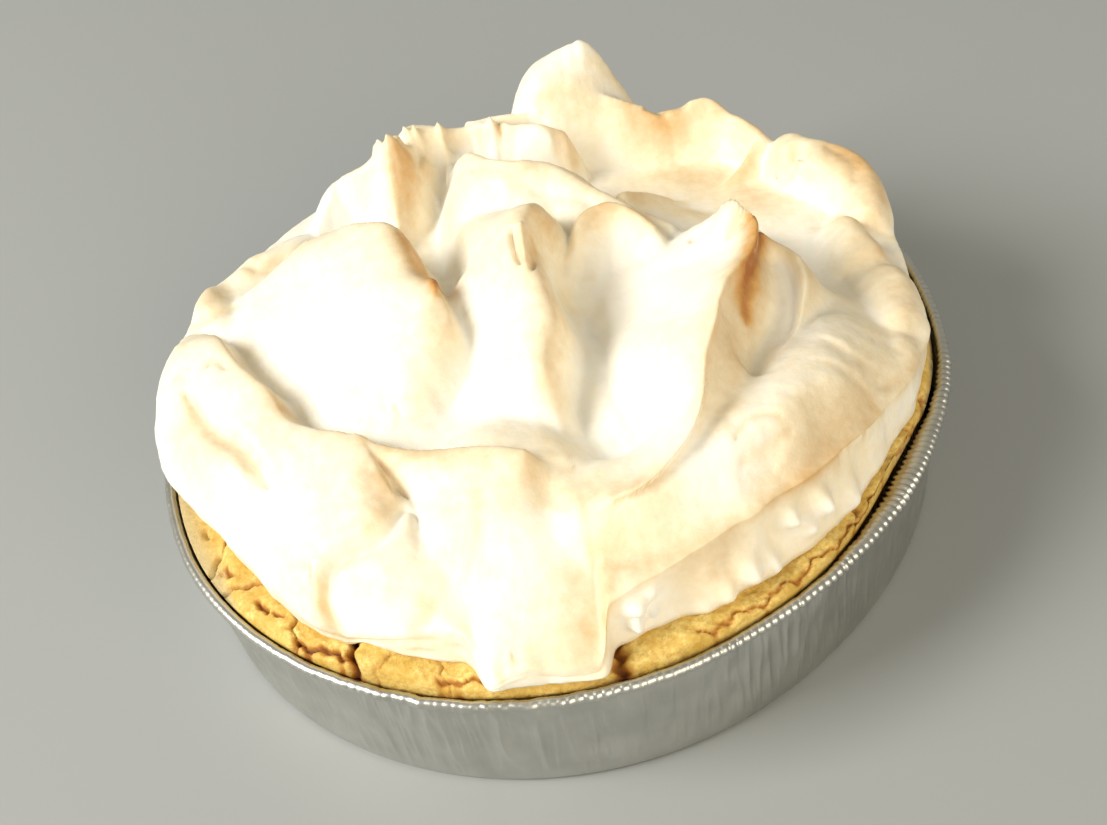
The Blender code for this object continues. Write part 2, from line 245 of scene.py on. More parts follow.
def flap(angle):
    """1 where the front flap hangs, 0 elsewhere, with its own soft edges."""
    first, last = FLAP[:2]
    degrees = (np.degrees(angle) - first + 90) % 360 - 90
    rising = 1 / (1 + np.exp(-degrees / FLAP_SOFT[0]))
    falling = 1 / (1 + np.exp((degrees - (last - first)) / FLAP_SOFT[1]))
    return rising * falling


print("the dish is", round(2 * RIM_RADIUS * OVAL, 1), "mm longer one way than round")


# %% The meringue's edge and the crust's rim in a direction
def edge_radius(angle):
    """Radius of the meringue's widest line."""
    return lobed(angle, MERINGUE_REACH, EDGE_LOBES) + FLAP[2] * flap(angle)


def foot_out(angle):
    """How far the foot of the meringue's side stands out from its widest line."""
    return lobed(angle, FOOT_OUT, FOOT_LOBES)


def roll_width(angle):
    """Width of the sheet's rolled edge: sharp in most places, broad at the front right."""
    return lobed(angle, ROLL, ROLL_LOBES)


def brow_height(angle):
    """Height of that widest line above the table."""
    return lobed(angle, BROW_HEIGHT, BROW_LOBES) - FLAP[3] * flap(angle)


def recess_radius(angle):
    """Inside of the crust's rim, where the meringue disappears."""
    return np.minimum(lobed(angle, MERINGUE_REACH, EDGE_LOBES) - 0.9, RECESS_RADIUS)


def crust_height(angle):
    """Top of the crust's rim, with a few broad rises and many small ones."""
    broad = lobed(angle, CRUST_TOP, CRUST_LOBES)
    return broad + 0.35 * np.sin(9 * angle + 1) + 0.3 * np.sin(17 * angle)


front = np.array(math.radians(-90))
print("the meringue reaches", round(float(edge_radius(front)), 1), "mm to the front")

# %% [markdown]
# ## Shared tools for the pieces
# Each piece begins as a bmesh that Blender's own operators make. Then all its points
# are moved at once by a formula, which numpy does quickly. These helpers pass points
# between the two, turn a finished bmesh into an object, and tell the frame which solid
# it stands for.

# %% Mesh helpers
def get_points(mesh):
    """The mesh's points as an array of millimetres, one row for each point."""
    flat = np.empty(len(mesh.vertices) * 3, np.float32)
    mesh.vertices.foreach_get("co", flat)
    return flat.reshape(-1, 3).astype(float) / MM


def set_points(mesh, points):
    """Move the mesh's points to an array of millimetres."""
    mesh.vertices.foreach_set("co", (points * MM).astype(np.float32).ravel())
    mesh.update()


def set_attribute(mesh, name, values):
    """Store one number for each point, for the material to read."""
    layer = mesh.attributes.new(name, "FLOAT", "POINT")
    layer.data.foreach_set("value", np.asarray(values, np.float32))


def polar(points):
    """Angle, radius and height of each point."""
    x, y, z = points.T
    return np.arctan2(y, x), np.hypot(x, y), z


def from_polar(angle, radius, z):
    """The points at these angles, radii and heights."""
    return np.array([radius * np.cos(angle), radius * np.sin(angle), z]).T


def add_piece(name, bm, material, node):
    """Turn a bmesh into an object that stands for a node and rides on the pie's one body."""
    mesh = bpy.data.meshes.new(name)
    bm.to_mesh(mesh)
    bm.free()
    mesh.materials.append(material)
    mesh.shade_smooth()
    piece = bpy.data.objects.new(name, mesh)
    bpy.context.collection.objects.link(piece)
    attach(piece, "root")
    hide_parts(node)
    return piece


def count_triangles(piece):
    """How many triangles a piece's faces make."""
    return sum(len(face.vertices) - 2 for face in piece.data.polygons)


# %% Turned forms
def extruded(bm, edges):
    """Extrude open edges; returns the new edges and their points."""
    made = bmesh.ops.extrude_edge_only(bm, edges=edges)["geom"]
    return ([item for item in made if isinstance(item, bmesh.types.BMEdge)],
            [item for item in made if isinstance(item, bmesh.types.BMVert)])


def turned(points, steps):
    """Draw a ring along a profile of (radius, height); both ends lie on the axis."""
    bm = bmesh.new()
    radius, height = points[1]
    bmesh.ops.create_circle(bm, cap_ends=True, cap_tris=True, radius=radius * MM, segments=steps)
    bmesh.ops.translate(bm, vec=(0, 0, height * MM), verts=bm.verts)
    ring = [edge for edge in bm.edges if edge.is_boundary]
    for next_radius, next_height in points[2:-1] + [points[-2]]:
        ring, verts = extruded(bm, ring)
        grow = next_radius / radius
        bmesh.ops.scale(bm, vec=(grow, grow, 1), verts=verts)
        bmesh.ops.translate(bm, vec=(0, 0, (next_height - height) * MM), verts=verts)
        radius, height = next_radius, next_height
    bmesh.ops.pointmerge(bm, verts=verts, merge_co=(0, 0, points[-1][1] * MM))
    bmesh.ops.recalc_face_normals(bm, faces=bm.faces)
    return bm


def arc(centre, radius, first, last, count):
    """Points along an arc in a profile; angles in degrees from straight outwards."""
    turns = np.radians(np.linspace(first, last, count))
    return [(centre[0] + radius * math.cos(t), centre[1] + radius * math.sin(t)) for t in turns]


def straight(start, end, count):
    """Points from start up to but without end, evenly spaced."""
    return [(start[0] + (end[0] - start[0]) * i / count,
             start[1] + (end[1] - start[1]) * i / count) for i in range(count)]


# %% [markdown]
# Nothing on a real pie repeats exactly. Two kinds of noise make the pieces uneven.
# ring_noise runs round the dish: random values at evenly spaced angles and heights,
# joined smoothly, so that it closes on itself. lumps is Blender's own fractal noise,
# taken at the points of a mesh.

# %% Noise
def ring_noise(angle, level, count, rows, seed):
    """Smooth noise 0..1 round a ring; count values round it, rows of them up it."""
    values = np.random.default_rng(seed).random((rows + 1, count))
    across = (np.asarray(angle) / math.tau % 1) * count
    up = np.clip(level, 0, 0.9999) * rows
    i, j = across.astype(int) % count, up.astype(int)
    u, v = across % 1, up % 1
    u, v = u * u * (3 - 2 * u), v * v * (3 - 2 * v)
    low = values[j, i] * (1 - u) + values[j, (i + 1) % count] * u
    high = values[j + 1, i] * (1 - u) + values[j + 1, (i + 1) % count] * u
    return low * (1 - v) + high * v


def lumps(points, size, octaves, seed):
    """Fractal noise about -1..1 at the points, with lumps of a size in millimetres."""
    shift = Vector((seed, 0, 0))
    return np.array([noise.fractal(Vector(p) / size + shift, 0.7, 2.1, octaves) for p in points])


def smoothstep(value, low, high):
    """0 below low, 1 above high, and a soft change between them."""
    share = np.clip((value - low) / (high - low), 0, 1)
    return share * share * (3 - 2 * share)


print("one noise value:", round(float(ring_noise(np.array(0.3), 0.5, 90, 3, 1)), 3))

# %% [markdown]
# ## The foil dish
# A shop's pie dish is pressed from foil about 0.1 mm thick. The press draws the flat
# sheet into a wall, and the spare foil gathers there in hundreds of small upright
# pleats. The edge is then rolled outwards over itself and crimped, which gives the
# bright row of tiny beads. It could be a smooth cup with a bump map, but the crimps
# catch the light one by one and show in the outline, so here they are real. A ring
# with six points to a crimp is drawn along the profile, and then every point is moved.

# %% Foil dish: profile and rings
BASE_RADIUS = 80.0      # flat bottom, up to the start of its corner
CORNER = 1.5            # radius of the corner between bottom and wall
WALL_RADIUS = 82.6      # outside of the wall just under the rolled edge
FOIL = 0.6              # thickness of the wall, as in the solid
BEAD = 1.1              # radius of the rolled edge
CRIMPS = 320
STEPS_IN_CRIMP = 6
BENT_OVER = [(-36, 2.2, 15, 15)]  # where the rolled edge is bent inwards

bead_r = RIM_RADIUS - BEAD
bead_z = RIM_HEIGHT - BEAD
wall_top = RIM_HEIGHT - 2 * BEAD
dish_profile = [(0, FOIL), (BASE_RADIUS - FOIL, FOIL)]
dish_profile += straight((BASE_RADIUS + CORNER - FOIL, CORNER + FOIL),
                         (WALL_RADIUS - FOIL, wall_top), 6)
dish_profile += arc((bead_r, bead_z), BEAD, 200, -100, 14)
dish_profile += straight((WALL_RADIUS, wall_top - 0.2), (BASE_RADIUS + CORNER, CORNER), 15)
dish_profile += arc((BASE_RADIUS, CORNER), CORNER, 0, -90, 5)
dish_profile += [(0.5 * BASE_RADIUS, 0), (0, 0)]
dish_bm = turned(dish_profile, CRIMPS * STEPS_IN_CRIMP)
print("dish:", len(dish_profile), "profile points,", len(dish_bm.faces), "faces")

# %% [markdown]
# The pleats are ridged noise: where smooth noise crosses its middle value, a sharp
# crease appears. Three sizes are mixed, from 6 mm folds to 1 mm scratches, and they
# fade out at the flat base. The crimps are half waves, rounded outside and sharp
# between, and no two are pressed equally deep.

# %% Foil dish: pleats and crimps
# Pleats: values round the dish, rows up the wall, depth in millimetres, seed.
PLEATS = ((84, 2, 0.5, 3), (210, 3, 0.42, 4), (520, 4, 0.16, 5))
PLEAT_LOBES = [(-100, 0.9, 24, 24)]
# How hard the rolled edge is crimped.
CRIMP_DEPTH = 0.04
CRIMP_LOBES = [(-150, -0.025, 50, 45), (-36, 0.14, 26, 34)]


def pleats(angle, level):
    """How far the foil wall stands out, in millimetres, at an angle and level 0..1."""
    slant = angle + 0.012 * np.sin(5 * angle) * level
    total = np.zeros_like(angle)
    for count, rows, depth, seed in PLEATS:
        wave = ring_noise(slant, level, count, rows, seed)
        strength = ring_noise(angle, level, count // 6, 2, seed + 20)
        total += depth * strength * (1 - 2 * np.abs(2 * wave - 1) ** 0.7)
    return total * lobed(angle, 0.7, PLEAT_LOBES)


def crimp(angle):
    """How far the rolled edge swells, about -1..1, once for each crimp."""
    press = 0.3 + 1.1 * ring_noise(angle, 0.5, CRIMPS // 3, 1, 8)
    uneven = angle + 0.012 * ring_noise(angle, 0.5, CRIMPS // 8, 1, 9)
    return press * (2 * np.abs(np.sin(CRIMPS * uneven / 2)) ** 0.7 - 1.2)


def rim_wobble(angle):
    """How far the soft wall is bent out or in at its top, in millimetres."""
    return 0.7 * (ring_noise(angle, 0.5, 26, 1, 11) - 0.5)


print("pleats stand out up to", round(float(pleats(np.linspace(0, 6, 900), 0.5).max()), 2), "mm")


# %% Foil dish: pressed out of round
def shape_dish(points):
    """Squeeze the round dish oval, and give it its pleats and crimps."""
    angle, radius, z = polar(points)
    level = np.clip((z - CORNER) / (wall_top - CORNER), 0, 1)
    on_wall = smoothstep(radius, BASE_RADIUS - 1, BASE_RADIUS + 1)
    rising = on_wall * smoothstep(level, 0, 0.12) * (1 - 0.6 * smoothstep(level, 0.85, 1))
    radius = radius + rising * pleats(angle, level)
    on_bead = smoothstep(z, wall_top - 0.3, wall_top + 0.3)
    pressed = lobed(angle, CRIMP_DEPTH, CRIMP_LOBES) * crimp(angle)
    radius = radius + 1.6 * pressed * on_wall * smoothstep(z, wall_top - 4, wall_top)
    out_r = (radius - bead_r) * np.where(radius < bead_r, lobed(angle, 1, BENT_OVER), 1)
    out_z = z - bead_z
    radius = np.where(on_bead > 0, bead_r + out_r * (1 + 0.7 * on_bead * pressed), radius)
    z = np.where(on_bead > 0, bead_z + out_z * (1 + 1.6 * on_bead * pressed), z)
    radius += level * on_wall * rim_wobble(angle)
    z += level * on_wall * 0.5 * (ring_noise(angle, 0.5, 34, 1, 12) - 0.6)
    return from_polar(angle, radius * oval(angle), np.maximum(z, 0))


print("the dish has", CRIMPS, "crimps,", round(math.tau * RIM_RADIUS / CRIMPS, 2), "mm apart")

# %% [markdown]
# Aluminium foil is bare metal with a satin roll finish: a bright, slightly blurred
# mirror of the room. Its colour is nearly neutral. A fine scatter of upright scratches
# from the press, a millimetre apart and drawn as coarse as they need to show, makes it
# rougher in streaks and bends the mirror, so that it never looks like chrome.

# %% Material: bare aluminium foil, pressed
foil, tree = blank_material("bare aluminium foil")
position = add_node(tree, "ShaderNodeTexCoord", {}).outputs["Object"]
upright = add_node(tree, "ShaderNodeMapping", {
    "Vector": position, "Scale": (scale_for(1.11), scale_for(1.11), scale_for(16.7))})
scratches = add_node(tree, "ShaderNodeTexNoise", {
    "Vector": upright.outputs[0], "Scale": 1.0, "Detail": 3.0})
blotches = add_node(tree, "ShaderNodeTexNoise", {
    "Vector": position, "Scale": scale_for(7.7), "Detail": 2.0})
rough = add_node(tree, "ShaderNodeMapRange", {
    "Value": scratches.outputs["Fac"], "To Min": 0.26, "To Max": 0.46})
tone = add_node(tree, "ShaderNodeMix", {
    "Factor": blotches.outputs["Fac"], 6: linear("B7B7B1"), 7: linear("D6D6D0")},
    data_type="RGBA")
dents = add_node(tree, "ShaderNodeBump", {
    "Height": scratches.outputs["Fac"], "Strength": 0.35, "Distance": 0.1 * MM})
shader = add_node(tree, "ShaderNodeBsdfPrincipled", {
    "Base Color": tone.outputs[2], "Metallic": 1.0, "Roughness": rough.outputs[0],
    "Normal": dents.outputs[0]})
add_node(tree, "ShaderNodeOutputMaterial", {"Surface": shader.outputs[0]})

# %% Foil dish: finish the piece
dish = add_piece("dish_of_foil", dish_bm, foil, "foil_dish")
set_points(dish.data, shape_dish(get_points(dish.data)))
print(dish.name, "has", count_triangles(dish), "triangles")

# %% [markdown]
# ## The pastry case
# Shortcrust for a pie like this is rolled or pressed into the dish and baked. Its rim
# is about 6 mm thick, matt and golden, with a broken, crumbly face, and it shrinks a
# little away from the foil. At one place in front it has cracked right through. The
# case is drawn from a ring too, along a profile that is fine where it shows and coarse
# where it doesn't.

# %% Pastry case: profile and rings
GAP = 0.3               # clearance between touching pieces
CRUST_RADIUS = 82.0     # outside of the crust at its rim
CRUST_ROUND = 1.7       # rounding of the rim's two edges
RECESS_FLOOR = 28.0     # where the meringue sits
SEAT_RADIUS = 69.0      # the plain seat's radius; the fine rim begins outside it
CRUST_TURNS = 1200

round_r, round_z = CRUST_RADIUS - CRUST_ROUND, CRUST_TOP - CRUST_ROUND
crust_profile = [(0, FOIL + GAP), (BASE_RADIUS - FOIL - GAP, FOIL + GAP)]
crust_profile += [(BASE_RADIUS + CORNER - FOIL - GAP, FOIL + GAP + CORNER)]
crust_profile += straight((WALL_RADIUS - FOIL - 2 * GAP - 0.4, 22), (CRUST_RADIUS, round_z), 12)
crust_profile += arc((round_r, round_z), CRUST_ROUND, 0, 90, 6)
crust_profile += straight((round_r - 0.3, CRUST_TOP), (SEAT_RADIUS + 0.5, CRUST_TOP), 26)
crust_profile += [(SEAT_RADIUS + 0.5, CRUST_TOP - 1.5), (SEAT_RADIUS, RECESS_FLOOR),
                  (0, RECESS_FLOOR)]
crust_bm = turned(crust_profile, CRUST_TURNS)
print("pastry case:", len(crust_profile), "profile points,", len(crust_bm.faces), "faces")

# %% [markdown]
# The break and the cracks are furrows at given angles. Each has a width, a depth and a
# slant, and its line wanders a little. Everything else comes from lumps of noise: big
# ones where the dough was pinched, small ones for the crumb. One browning number is
# stored for the material: the burnt edge that stands out, painted shade down in the
# cracks and low down by the foil, and a little less where the crumb stands up. Where
# the rim shrank back it left a low ledge against the foil, baked pale, and that is
# stored as "pale".

# %% Pastry case: cracks and crevices
# Cracks across the rim: angle, half width, depth, slant in degrees for each millimetre.
CRACKS = [
    (-125, 0.8, 4.0, 0.25), (-136, 0.5, 1.2, 0.5), (-145, 0.5, 1.4, -0.5),
    (-155, 0.5, 1.6, 0.4), (-117, 0.4, 0.7, -0.4), (-112.5, 0.3, 0.6, 0.3),
    (-46, 0.6, 1.0, -0.5), (-31, 0.4, 0.9, 0.4),
    (-88.3, 1.3, 2.5, 0), (14, 0.4, 1.2, -0.3), (47, 0.5, 1.3, 0.3), (95, 0.4, 1.2, 0.4),
    (150, 0.5, 1.5, -0.4),
]
# Crevices along the rim: first and last angle, radius, half width, depth.
CREVICES = [
    (-133.5, -124.5, 80.8, 0.6, 1.8), (-142.5, -139.5, 79.6, 0.5, 1.4), (-152, -149, 79.0, 0.6, 1.4),
    (-161, -159, 78.4, 0.5, 1.4), (-139, -137, 78.0, 0.4, 1.0), (-112, -105, 81.0, 0.4, 1.0),
    (-78, -20, 80.9, 0.35, 0.8), (60, 66, 80, 0.6, 1.2), (120, 124, 80, 0.6, 1.2),
]


def cracked(points):
    """How deep the cracks are at the points, and how much painted shade darkens them there, 0..1."""
    angle, radius, _ = polar(points)
    degrees = np.degrees(angle)
    depth = np.zeros_like(radius)
    dark = np.zeros_like(radius)
    for at, width, deep, slant in CRACKS:
        bend = 0.35 * np.sin(1.7 * radius + at) + 1.4 * slant * (radius - MERINGUE_REACH)
        off = np.radians(degrees_from(angle, at + bend)) * radius
        share = np.exp(-(off / width) ** 2)
        depth += deep * share
        dark = np.maximum(dark, share * min(1, 0.15 + deep / 4))
    for first, last, at, width, deep in CREVICES:
        begun = smoothstep(degrees, first - 0.6, first + 0.6)
        ended = smoothstep(degrees, last - 0.6, last + 0.6)
        off = radius - at - 0.5 * np.sin(0.9 * degrees) - 0.3 * np.sin(2.3 * degrees)
        share = begun * (1 - ended) * np.exp(-(off / width) ** 2)
        depth += deep * share
        dark = np.maximum(dark, share * min(1, 0.3 + deep / 2.5))
    return depth, dark


print(len(CRACKS), "cracks and", len(CREVICES), "crevices in the rim")

# %% Pastry case: ledge, crumbs and browning
SHRINK_LOBES = [(-160, 5.4, 26, 10), (-20, 1.2, 16, 30), (100, 0.8, 60, 40)]
LEDGE_HEIGHT = 28.3
LEDGE_LOBES = [(-160, 1.6, 30, 18)]
SHOULDER_DROP = 1.2     # how much the rim rounds off towards the ledge
LIP_HEIGHT = 28.6       # where the crust's outside stands out most
LIP = 0.9               # how far it stands out there
LIP_HALF = 1.2
FOIL_TOP = (26.5, 29.3)  # heights between which the foil turns out into its rolled edge


def room_in_foil(angle, z):
    """The largest radius that the crust may have inside the soft foil."""
    up = smoothstep(z, *FOIL_TOP)
    room = WALL_RADIUS - FOIL - GAP - 0.8 + 1.4 * up
    return room + up * rim_wobble(angle) - 1.25 * BEAD * lobed(angle, 0, BENT_OVER)


def roughness(points, ledge):
    """Pinches 5 mm wide and crumbs of 1.8 mm, smoother on the ledge."""
    pinched = 0.6 * lumps(points, 5, 2, 3) + 0.45 * lumps(points, 1.8, 3, 9)
    return (1 - 0.8 * ledge) * pinched


def shape_crust(points):
    """Make the round case as uneven as baked pastry; returns points, browning and ledge."""
    angle, radius, z = polar(points)
    on_rim = smoothstep(z, RECESS_FLOOR - 3, RECESS_FLOOR + 3)
    on_rim *= smoothstep(radius, SEAT_RADIUS, SEAT_RADIUS + 1)
    top = smoothstep(z, RECESS_FLOOR, CRUST_TOP)
    z = z + on_rim * top * (crust_height(angle) - CRUST_TOP)
    outside = smoothstep(radius, MERINGUE_REACH, CRUST_RADIUS) * on_rim
    shrunk = lobed(angle, 0, SHRINK_LOBES)
    shoulder = CRUST_RADIUS - shrunk
    has_ledge = smoothstep(shrunk, 0.3, 0.9)
    ledge = smoothstep(radius, shoulder - 0.5, shoulder + 0.5) * has_ledge
    rounded = smoothstep(radius, shoulder - 2.2, shoulder) ** 2
    z = z - SHOULDER_DROP * top * rounded * has_ledge
    z = z - ledge * np.maximum(z - lobed(angle, LEDGE_HEIGHT, LEDGE_LOBES), 0)
    points = from_polar(angle, radius, z)
    shown = on_rim > 0
    rough = np.zeros(len(points))
    rough[shown] = roughness(points[shown], ledge[shown])
    radius = radius + LIP * outside * np.exp(-((z - LIP_HEIGHT) / LIP_HALF) ** 2)
    crack, dark = cracked(points)
    z = z + on_rim * (0.75 * rough - crack * top)
    radius = radius + on_rim * 0.55 * np.roll(rough, 7) - 0.35 * crack * outside
    inside_foil = np.minimum(radius, room_in_foil(angle, z))
    radius = np.where(radius > MERINGUE_REACH - 1, inside_foil, radius)
    # Browning: the burnt edge is baked colour, while the cracks' darkness and the darkening below 29.5
    # mm are painted shade; crumbs that stand up get a little less.
    burnt = smoothstep(0.6 * rough + 0.9 * smoothstep(z, 29, CRUST_TOP), 0.9, 1.6)
    browned_and_shaded = np.maximum(dark, 0.35 * outside * burnt) * (1 - ledge)
    browned_and_shaded += 0.1 * smoothstep(29.5 - z, -1.5, 1.5) - 0.15 * rough
    radius *= 1 + (oval(angle) - 1) * smoothstep(radius, 72, 79)
    return from_polar(angle, radius, z), np.clip(browned_and_shaded, 0, 1), ledge * outside


print("the ledge is up to", SHRINK_LOBES[0][1], "mm wide")

# %% [markdown]
# Baked shortcrust is flour and butter: matt, slightly open, and unevenly coloured from
# pale gold to the deep tan of its edges. Three golds are mixed by noise, in patches of
# about 4 mm and at the size of the crumb, about a millimetre. The browning number adds
# the darker colours, which are the burnt edge and painted shade in the cracks and low
# down by the foil, and the "pale" number the ledge's. A small share of light scatters
# inside it, which makes real pastry glow a little.

# %% Material: baked shortcrust pastry
shortcrust, tree = blank_material("baked shortcrust pastry")
position = add_node(tree, "ShaderNodeTexCoord", {}).outputs["Object"]
patches = add_node(tree, "ShaderNodeTexNoise", {
    "Vector": position, "Scale": scale_for(3.85), "Detail": 4.0})
gold = add_node(tree, "ShaderNodeValToRGB", {"Fac": patches.outputs["Fac"]})
for element, share, code in zip(gold.color_ramp.elements, (0.34, 0.66), ("D8B352", "F7DE8C")):
    element.position = share
    element.color = linear(code)
crumb = add_node(tree, "ShaderNodeTexNoise", {
    "Vector": position, "Scale": scale_for(0.91), "Detail": 5.0, "Roughness": 0.65})
speckle = add_node(tree, "ShaderNodeMapRange", {
    "Value": crumb.outputs["Fac"], "From Min": 0.3, "From Max": 0.62})
golden = add_node(tree, "ShaderNodeMix", {
    "Factor": speckle.outputs[0], 6: linear("D1A84A"), 7: gold.outputs["Color"]},
    data_type="RGBA")
# The browning number darkens the gold towards 6B3814: baked colour on the burnt edge, painted shade in
# the cracks and low down by the foil.
browned_and_shaded = add_node(tree, "ShaderNodeAttribute", {}, attribute_name="browned_and_shaded")
darker = add_node(tree, "ShaderNodeValToRGB", {"Fac": browned_and_shaded.outputs["Fac"]})
darker.color_ramp.elements[0].color = linear("FFFFFF")
darker.color_ramp.elements[1].color = linear("6B3814")
darker.color_ramp.elements.new(0.45).color = linear("CFA468")
baked = add_node(tree, "ShaderNodeMix", {
    "Factor": 1.0, 6: golden.outputs[2], 7: darker.outputs["Color"]},
    data_type="RGBA", blend_type="MULTIPLY")
pale = add_node(tree, "ShaderNodeAttribute", {}, attribute_name="pale")
pastry_colour = add_node(tree, "ShaderNodeMix", {
    "Factor": pale.outputs["Fac"], 6: baked.outputs[2], 7: linear("CDBB8C")},
    data_type="RGBA")
grain = add_node(tree, "ShaderNodeBump", {
    "Height": crumb.outputs["Fac"], "Strength": 0.7, "Distance": 0.5 * MM})
shader = add_node(tree, "ShaderNodeBsdfPrincipled", {
    "Base Color": pastry_colour.outputs[2], "Roughness": 0.72, "Subsurface Weight": 0.12,
    "Subsurface Radius": (1.6 * MM, 0.9 * MM, 0.4 * MM), "Subsurface Scale": 1.0,
    "Normal": grain.outputs[0]})
add_node(tree, "ShaderNodeOutputMaterial", {"Surface": shader.outputs[0]})

# %% Pastry case: finish the piece
crust = add_piece("case_of_shortcrust", crust_bm, shortcrust, "pastry_case")
crust_points, browned_and_shaded_share, pale_share = shape_crust(get_points(crust.data))
set_points(crust.data, crust_points)
set_attribute(crust.data, "browned_and_shaded", browned_and_shaded_share)
set_attribute(crust.data, "pale", pale_share)
print(crust.name, "has", count_triangles(crust), "triangles")

# %% [markdown]
# ## The meringue
# Meringue is egg white and sugar whipped to a stiff foam. The cook heaps it on the
# filling and drags a spoon through it, so it stands in peaks, fins and folds, each
# with a sharp crest and soft flanks. Baking sets a dry skin and browns what stands out.
#
# It could be sculpted by hand, but strokes can be described: each swirl is a crest
# line with a height, and a flank on either side that falls away from it. Where swirls
# meet, the higher one wins, with a soft joint. A flat sheet is laid over this
# landscape, rolled down at its edge and tucked in against the crust. The main swirls
# below are the same as those of the solid, and finer strokes are added after them.

# %% Meringue: main sizes
DOME_TOP = 49.0         # height of the plain dome that the swirls are built on
DOME_FALL = 11.0        # how far that dome falls from the middle to DOME_RADIUS
DOME_RADIUS = 80.0
FALL = 20.0             # a swirl's reach is the distance in which it falls this much
MELT = 0.8              # how softly neighbouring swirls run together
GRID = 284              # squares along one side of the flat sheet
print("one step of the sheet is about", round(2 * MERINGUE_REACH / GRID, 2), "mm")

# %% [markdown]
# A swirl's numbers: the points of its crest (x, y, height), then reach and form of its
# left and right flank, as seen when walking along the crest. The reach is the distance
# in which it falls 20 mm. Form 1 is a straight flank, below 1 a hollow one under a
# sharp crest, above 1 a rounded one. Then come the crest's softness and its lean.

# %% Meringue: the main swirls
SWIRLS = {
    "back_peak": ([(16, 69, 66), (18.5, 69, 66.8)], (14.5, 2.3), (14.5, 2.3), 1.0, 0),
    "peak_tip": ([(18, 69, 66.5), (20.8, 69.3, 68.2)], (12, 1.7), (12, 1.7), 1.5, 0),
    "back_rim": ([(16, 60, 56), (24, 60, 58), (36, 57, 54), (45, 55, 54.5), (51.5, 53, 55.5),
                  (55.5, 46, 52), (60, 40, 48)], (12, 1.4), (10, 1.0), 1.2, 0),
    "back_left_rim": ([(14, 62, 56), (2, 60, 57), (-10, 58, 58), (-20, 60, 60)],
                      (9, 1.0), (14, 1.3), 1.2, 0),
    "ribbon": ([(-4, 58, 59), (14, 53, 58)], (5, 1.2), (6, 1.5), 0.8, 0),
    "saddle": ([(25, 30, 52), (38, 36, 48), (50, 38, 49), (57, 42, 50)],
               (12, 1.0), (12, 1.0), 1.5, 0),
    "knob": ([(66.5, 37, 53.5), (71, 32, 53.5), (74, 26, 52.5), (74.5, 18, 49.5)],
             (13, 2.0), (13, 2.4), 1.2, 0),
    "right_bump": ([(66, 9, 51), (69, 2, 49)], (12, 1.8), (16, 1.6), 1.2, 0),
    "right_side": ([(71, -8, 48), (70, -17, 47)], (14, 2.2), (16, 1.5), 1.2, 0),
    "right_low": ([(69, -28, 46), (64, -36, 44)], (12, 2.2), (18, 1.5), 1.2, 0),
    "mid_crest": ([(-14, 50, 57), (-2, 37, 62), (11, 33, 60.5), (21, 18, 57), (30, 12, 55)],
                  (11, 1.0), (24, 1.1), 1.2, 0),
    "swoop": ([(6, 4, 58), (12, 14, 59), (20, 15, 58.5), (27, 7, 57), (29, 0, 55)],
              (9, 1.1), (18, 0.8), 1.2, 0),
    "fin": ([(39, 0, 63.5), (41.5, -1, 66.8), (42.3, -8, 67.2), (33.3, -24, 66.5), (27, -37, 64),
             (22.5, -48, 60), (16, -56, 56), (7, -57, 53)], (17, 0.8), (27, 0.75), 1.0, -2.5),
    "fin_fold": ([(47.5, -4, 62.5), (51.3, -10, 60), (52.3, -17, 57), (50, -24, 54.5),
                  (46, -30, 53)], (6, 1.2), (10, 0.8), 0.9, 0),
    "ridge": ([(2, 15, 65), (2, 8, 68), (2, -8, 65), (1, -27, 58.5)],
              (8, 0.9), (30, 1.0), 1.5, 0),
    "dollop": ([(-42, 25, 57.5), (-34, 22, 62), (-26, 16, 63.5), (-22, 4, 62), (-21, -8, 60),
                (-25, -15, 56)], (8, 1.3), (44, 1.3), 1.5, -1.5),
    "leaf": ([(-47, 45, 48), (-40, 50.5, 54), (-31, 52.5, 59), (-25, 52, 65.5)],
             (12, 1.2), (12, 0.9), 0.8, 0),
    "left_lobe": ([(-73, 30, 48), (-70, 20, 47)], (14, 2.0), (14, 1.6), 1.2, 0),
    "left_lobe_back": ([(-62, 39, 47), (-52, 41, 48)], (13, 1.8), (13, 1.4), 1.2, 0),
    "left_peak": ([(-70, 8, 52), (-66, 2, 55), (-60, -11, 54), (-55, -20, 53),
                   (-48, -27, 52), (-38, -33, 52)], (11, 0.8), (34, 1.5), 1.2, -1),
    "low_crest": ([(-38, -33, 52), (-30, -37, 52.5), (-23, -42, 54), (-8, -48, 56)],
                  (11, 0.8), (16, 1.3), 1.2, -1),
    "left_mass": ([(-38, -36, 52), (-35, -46, 51.5), (-32, -51, 50.5), (-35, -55, 49.5),
                   (-43, -55.5, 48), (-48, -57, 46), (-49.5, -61, 43.5), (-48, -67, 40)],
                  (5, 1.1), (36, 1.8), 0.8, -0.8),
    "front": ([(-12, -46, 54), (-12, -60, 46), (-10, -76, 38)], (26, 2.0), (30, 2.0), 1.2, 0),
    "front_left": ([(-22, -50, 49), (-30, -60, 45.5), (-37, -68, 41)],
                   (15, 2.2), (15, 2.2), 1.5, 0),
    "sweep": ([(2, -54, 51), (20, -55, 54), (38, -44, 56), (52, -32, 54)],
              (40, 1.3), (18, 1.8), 1.2, 0),
}
